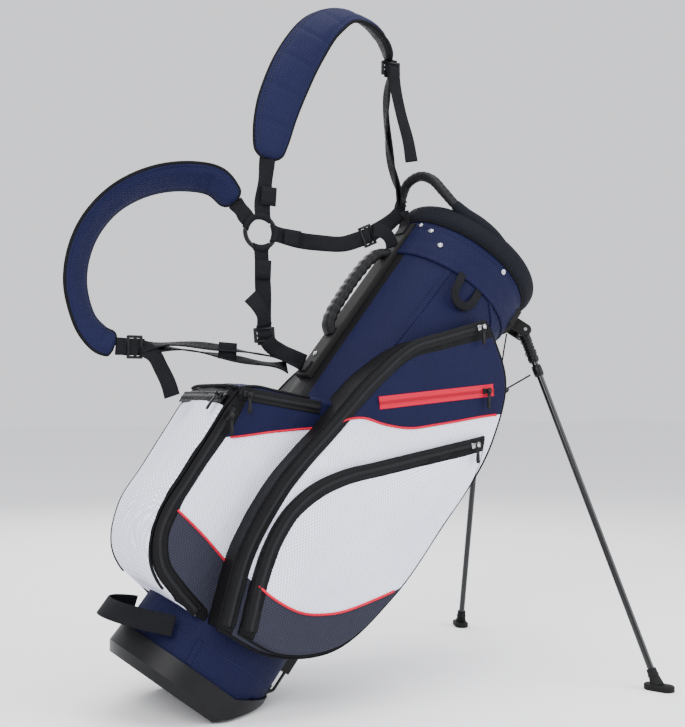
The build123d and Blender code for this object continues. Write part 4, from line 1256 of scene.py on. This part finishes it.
def bevelledBox(name, size, place, material):
    # A moulded block, its edges rounded
    bpy.ops.object.select_all(action="DESELECT")
    bpy.ops.mesh.primitive_cube_add(size=1)
    block = bpy.context.object
    block.name = name
    block.data.name = name
    block.scale = size
    bpy.ops.object.transform_apply(scale=True)
    modifier = block.modifiers.new("edges", "BEVEL")
    modifier.width = 0.0013
    modifier.segments = 2
    bpy.ops.object.modifier_apply(modifier="edges")
    block.data.transform(place)
    block.data.polygons.foreach_set("use_smooth", [True] * len(block.data.polygons))
    block.data.materials.append(material)
    return block


def joinPieces(pieces):
    # The first piece takes in the others
    bpy.ops.object.select_all(action="DESELECT")
    for piece in pieces:
        piece.select_set(True)
    bpy.context.view_layer.objects.active = pieces[0]
    bpy.ops.object.join()
    return bpy.context.object


def buckle(name, x, z, ahead):
    # A ladder lock: two side rails and three bars
    way = Vector((ahead[0], 0, ahead[1])).normalized()
    out = Vector((0, -1, 0))
    centre = Vector((x / 1000, 0, z / 1000))
    turn = axesAt(way, out.cross(way), out, centre)
    shapes = [((0.024, 0.0042, 0.0066), (0, s, 0)) for s in (0.0156, -0.0156)]
    for step, rise in ((-0.0100, 0), (0.0005, 0.0014), (0.0100, 0.0006)):
        shapes.append(((0.0042, 0.029, 0.0052), (step, 0, rise)))
    parts = []
    for number, (size, spot) in enumerate(shapes):
        place = groundFrame @ turn @ Matrix.Translation(spot)
        parts.append(bevelledBox(name + "Bar" + str(number), size, place, glossPlastic))
    joined = joinPieces(parts)
    joined.name = name
    joined.data.name = name
    wearsOn(joined, "bag", "black_plastic_gloss")
    # The web goes under the outer bars and over the middle one
    weaving = [(-0.0160, 0.0002), (-0.0105, 0.0016), (-0.0045, -0.0006), (0.0005, -0.0030)]
    weaving += [(0.0055, -0.0006), (0.0105, 0.0016), (0.0160, 0.0002)]
    thread = flow([tuple(centre + way * a + Vector((0, b, 0))) for a, b in weaving], 0.0015)
    band(name + "Web", thread, facing(-1, len(thread)), 0.0255, 0.0018, groundFrame)
    return joined


firstBuckle = buckle("buckleRight", 314, 740, (22, 10))
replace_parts(firstBuckle, "buckles")
buckle("buckleDown", 125, 568, (1, -11))
buckle("buckleLow", -88, 544, (12, 0))
buckle("buckleTop", 360, 1030, (0, 1))
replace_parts(bpy.data.objects["webTop"], "ring_webs")
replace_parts(bpy.data.objects["edgeOver"], "pad_straps")
print("harness")

# Zip sliders and pulls: each is drawn once in its own frame and set on its joint

sliderForm = {"length": 0.016, "width": 0.0092, "height": 0.0058, "base": 0.0005}


def zipFrame(zipName):
    # The slider's frame: x runs along the zip, z faces outwards, origin on the tape
    run = jointNamed[zipName + "_run"]
    swing = jointNamed[zipName + "_swing"]
    out = Vector(swing["axis"]).normalized()
    ahead = Vector(run["axis"]).normalized()
    slider = cadNodes[zipName + "_slider"]
    points = np.array([v.co for v in slider.data.vertices])
    middle = Vector((points.min(axis=0) + points.max(axis=0)) / 2)
    if out.dot(middle - bagMiddle(middle)) < 0:
        out = -out
    heights = (points - np.array(middle)) @ np.array(out)
    centre = Vector(swing["pos_m"])
    centre -= out * (centre - middle).dot(out)
    base = centre + out * (heights.min() - 0.0004)
    return axesAt(ahead, out.cross(ahead).normalized(), out, base), out


def bagMiddle(point):
    spot = toBag @ point
    return toWorld @ Vector((0, 0, spot.z))


def sliderBody(name, place, material):
    # Wedge shaped body with a waist and a bridge that holds the pull's post
    form = sliderForm
    rows = []
    for share in np.linspace(0, 1, 13):
        x = (share - 0.5) * form["length"]
        wide = form["width"] / 2 * (0.78 + 0.22 * math.cos((share - 0.15) * math.pi * 1.4) ** 2)
        tall = form["height"] * (0.62 + 0.38 * math.sin(math.pi * min(1, share * 1.1 + 0.02)))
        row = []
        for t in fullTurn(20):
            z = tall / 2 * (squared(math.sin(t), 0.55) + 1)
            row.append((x, wide * squared(math.cos(t), 0.55), form["base"] + z))
        rows.append(row)
    post = [(0.0017, 0.0040), (0.0017, 0.0090), (0.0027, 0.0093), (0.0028, 0.0102), (0.0019, 0.0106)]
    body = gridPiece(name, rows, material, place)
    return joinPieces([body, gridPiece(name + "Post", latheRows(post), material, place)])


def pullTab(name, zipName, out, material):
    # A flat tab with an eye round the post and a raised grip at its free end
    pull = cadNodes[zipName + "_pull"]
    points = np.array([v.co for v in pull.data.vertices])
    pivot = np.array(jointNamed[zipName + "_swing"]["pos_m"])
    middle = (points.min(axis=0) + points.max(axis=0)) / 2
    outWay = np.array(out)
    pivot = pivot - outWay * ((pivot - middle) @ outWay)
    hang = middle - pivot
    hang /= np.linalg.norm(hang)
    sideways = np.cross(outWay, hang)
    place = axesAt(Vector(hang), Vector(sideways), Vector(out), Vector(pivot))
    eye, centre = 0.00175, 0.0125
    outer = []
    for t in fullTurn(48):
        # The eye end is round, the waist is narrow and the grip is wide again
        along = centre + 0.0160 * squared(math.cos(t), 0.75)
        waist = 0.0035 * (0.62 + 0.38 * abs(math.cos(math.pi * (along + 0.0035) / 0.032)) ** 0.8)
        outer.append((along, waist * squared(math.sin(t), 0.45), 0.0014 if along > 0.014 else 0.0010))
    rows = []
    for lift, length, width in ((-1, 0.985, 0.93), (-0.6, 1, 1), (0.6, 1, 1), (1, 0.985, 0.93)):
        rows.append([(centre + (a - centre) * length, b * width, lift * g * 0.98) for a, b, g in outer])
    for height in (0.0009, -0.0009):
        rows.append([(eye * math.cos(t), eye * math.sin(t), height) for t in fullTurn(48)])
    return gridPiece(name, rows, material, place, ringed=True)


blackSliders = ("red_zip", "ball_zip_side", "ball_zip_back", "lid_zip")
for zipName in zipNames:
    place, out = zipFrame(zipName)
    metal = glossPlastic if zipName in blackSliders else brightMetal
    body = sliderBody(zipName + "SliderBody", place, metal)
    wearsOn(body, zipName + "_runner", "bright_metal", zipName + "_slider")
    tab = pullTab(zipName + "PullTab", zipName, out, gripRubber)
    wearsOn(tab, zipName + "_tab", "rubber_black", zipName + "_pull")
print("zip sliders and pulls")

# Legs: moulded sockets, soft sleeves and rubber feet

legWays = {}
for end in ("near", "far"):
    fold = jointNamed["leg_" + end + "_fold"]
    tubePoints = np.array([v.co for v in cadNodes["leg_tube_" + end].data.vertices])
    spine = np.linalg.svd(tubePoints - tubePoints.mean(axis=0), full_matrices=False)[2][0]
    down = Vector(spine if spine[2] < 0 else -spine)
    legWays[end] = (Vector(fold["pos_m"]), down, Vector(fold["axis"]).normalized())


def legPlace(end):
    # Origin on the leg's pin, z down the leg
    hub, down, pin = legWays[end]
    if pin.y * (1 if end == "near" else -1) > 0:
        pin = -pin
    third = down.cross(pin).normalized()
    return axesAt(third.cross(down).normalized(), third, down, hub)


def legPart(name, end, outline, material, place, slotName, *nodes, sides=36):
    part = gridPiece(name + end.capitalize(), latheRows(outline, sides), material, place)
    return wearsOn(part, "leg_" + end, slotName, *nodes)


# Socket: barrel on the pin, a ribbed throat and a collar where the tube goes in
socket = [(0.0040, -0.0085), (0.0086, -0.0080), (0.0094, -0.0050), (0.0096, 0.0120)]
for k in range(6):
    up = 0.0150 + k * 0.0058
    socket += [(0.0096, up), (0.0086, up + 0.0008), (0.0086, up + 0.0032), (0.0096, up + 0.0040)]
socket += [(0.0096, 0.0520), (0.0088, 0.0565), (0.0075, 0.0580), (0.0056, 0.0580)]
halfBarrel = [(0.0104, 0.0022), (0.0110, 0.0030), (0.0110, 0.0090), (0.0100, 0.0100), (0.0034, 0.0100)]
barrel = [(r, -z) for r, z in halfBarrel[::-1]] + halfBarrel
# Clip that the spreader link hooks into
clip = [(0.0057, 0.0645), (0.0082, 0.0648), (0.0086, 0.0700), (0.0086, 0.0790), (0.0078, 0.0835)]
clip += [(0.0062, 0.0842), (0.0057, 0.0840)]
screw = [(0.0026, -0.0004), (0.0027, 0.0008), (0.0022, 0.0013), (0.0010, 0.0014)]
for end in ("near", "far"):
    place = legPlace(end)
    legPart("legSocket", end, socket, glossPlastic, place, "moulded_black", "leg_socket_" + end)
    acrossLeg = place @ Matrix.Rotation(math.pi / 2, 4, "Y")
    legPart("legBarrel", end, barrel, glossPlastic, acrossLeg, "moulded_black")
    legPart("legClip", end, clip, glossPlastic, place, "moulded_black")
    for number, high in enumerate((0.018, 0.040)):
        for turn in (0, 180):
            screwPlace = place @ Matrix.Rotation(math.radians(turn + 25), 4, "Z")
            screwPlace = screwPlace @ Matrix.Translation((0, -0.0094, high))
            screwPlace = screwPlace @ Matrix.Rotation(math.pi / 2, 4, "X")
            head = legPart("legScrew", end, screw, brightMetal, screwPlace, "bright_metal", sides=16)
            head.name += str(number) + str(turn)
            head.data.name = head.name

foot = {"length": 0.050, "width": 0.027}
footLayers = [
    (0.0, 0.90), (0.0012, 0.98), (0.0030, 1.0), (0.0034, 0.97),
    (0.0050, 0.97), (0.0054, 1.0), (0.0078, 0.99), (0.0092, 0.90),
]
sleeve = [(0.0060, -0.0350), (0.0076, -0.0352), (0.0080, -0.0330), (0.0082, -0.0270), (0.0090, -0.0262)]
sleeve += [(0.0090, -0.0240), (0.0083, -0.0232), (0.0092, -0.0180), (0.0104, -0.0120), (0.0112, -0.0070)]
sleeve += [(0.0080, -0.0050)]
for end in ("near", "far"):
    hub, down, pin = legWays[end]
    toe = hub + down * (-hub.z / down.z)
    heading = Vector((down.x, down.y, 0)).normalized()
    padPlace = axesAt(heading, Vector((0, 0, 1)).cross(heading), Vector((0, 0, 1)), toe)
    straight = (foot["length"] - foot["width"]) / 2
    padRows = []
    for height, grow in footLayers:
        row = []
        for t in fullTurn(48):
            x = math.copysign(straight, math.cos(t)) if abs(math.cos(t)) > 1e-6 else 0
            radius = foot["width"] / 2 * grow
            row.append((x + radius * math.cos(t), radius * math.sin(t), height))
        padRows.append(row)
    pad = gridPiece("footPad" + end.capitalize(), padRows, footRubber, padPlace)
    wearsOn(pad, "leg_" + end, "rubber_black", "leg_foot_" + end)
    sleevePlace = legPlace(end) @ Matrix.Translation((0, 0, (toe - hub).length))
    legPart("footSleeve", end, sleeve, footRubber, sleevePlace, "rubber_black")
print("legs")

# Small hardware on the CAD frame

for number, sign in enumerate((-1, 1)):
    # Elastic cords from the bracket to the rod head
    path = [(0.1330, -0.0100 + sign * 0.0200, 0.8160), (0.1520, -0.0070 + sign * 0.0140, 0.7920)]
    path += [(0.1750, -0.003 + sign * 0.0080, 0.7650), (0.1935, sign * 0.0045, 0.7455)]
    elastic = trim("elastic" + str(number), flow(path, 0.003), 0.0014, blackTrim)
    if number == 0:
        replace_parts(elastic, "retract_cords")
for number, sign in enumerate((-1, 1)):
    # Loose ends of the elastic cords below their knot
    start = toWorld @ Vector((0.1985, sign * 0.0040, 0.7290))
    hang = [(0, 0, 0), (0.002, sign * 0.003, -0.008)]
    hang += [(-0.001, sign * 0.006, -0.017), (0.003, sign * 0.005, -0.024)]
    path = flow([tuple(start + Vector(step)) for step in hang], 0.0015)
    end = piping("cordEnd" + str(number), path, 0.0013, blackTrim, Matrix.Identity(4))
    wearsOn(end, "head", "trim_black")
frameRows = (
    (bootPlastic, "base_boot", "ground_plate", "rod_guide", "top_collar"),
    (footRubber, "leg_bracket", "spine_plate", "stay_rods"),
    (brightMetal, "leg_pins", "plate_pin"),
    (legLacquer, "push_rod", "rod_yoke", "rod_head", "leg_tube_near", "leg_tube_far"),
    (darkWire, "spreader_link_near", "spreader_link_far"),
    (blackTrim, "retract_cords"),
    (blackWebbing, "harness_anchors"),
)
for material, *nodes in frameRows:
    for node in nodes:
        cadNodes[node].data.materials.clear()
        cadNodes[node].data.materials.append(material)
bpy.ops.object.select_all(action="DESELECT")
print("frame finishes")

# Floor, light and camera

bpy.ops.mesh.primitive_plane_add(size=30, location=(0, 0, 0))
floor = bpy.context.object
floor.name = "floor"
floorPaint, tree, floorShader = startMaterial("floorPaint", 0.85, specular=0.1)
floorShader.inputs["Base Color"].default_value = (0.95, 0.95, 0.955, 1)
floor.data.materials.append(floorPaint)
floor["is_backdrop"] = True

world = bpy.data.worlds.new("studio")
bpy.context.scene.world = world
world.use_nodes = True
backdrop = world.node_tree.nodes["Background"]
feed(world.node_tree, backdrop, Color=(0.95, 0.96, 1.0, 1), Strength=1.15)


def softLight(name, place, target, size, power, colour=(1, 1, 1)):
    lamp = bpy.data.lights.new(name, "AREA")
    lamp.shape = "RECTANGLE"
    lamp.size = size[0]
    lamp.size_y = size[1]
    lamp.energy = power
    lamp.color = colour
    holder = bpy.data.objects.new(name, lamp)
    holder.location = place
    holder.rotation_euler = (Vector(target) - Vector(place)).to_track_quat("-Z", "Y").to_euler()
    bpy.context.scene.collection.objects.link(holder)
    holder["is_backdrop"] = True


aim = (0.15, 0, 0.5)
softLight("keyLight", (-1.9, -2.0, 2.2), aim, (1.8, 1.8), 88)
softLight("fillLight", (1.9, -1.9, 1.3), aim, (1.6, 2.0), 52, (0.96, 0.98, 1))
softLight("topLight", (0.1, -0.2, 2.9), aim, (1.8, 1.4), 50)
softLight("backLight", (0.6, 2.2, 1.8), aim, (2.2, 1.4), 40)

lens = bpy.data.cameras.new("camera")
lens.lens = 53.84
lens.sensor_width = 36
lens.dof.use_dof = False
camera = bpy.data.objects.new("camera", lens)
camera.location = (-0.6269, -1.5840, 0.4689)
target = Vector((0.2262, 0, 0.5244))
camera.rotation_euler = (target - camera.location).to_track_quat("-Z", "Y").to_euler()
bpy.context.scene.collection.objects.link(camera)
bpy.context.scene.camera = camera
camera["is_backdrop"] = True

sizes = {}
for name, box in (("cad", cadBox), ("visual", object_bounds())):
    sizes[name] = [list(map(float, corner)) for corner in box]
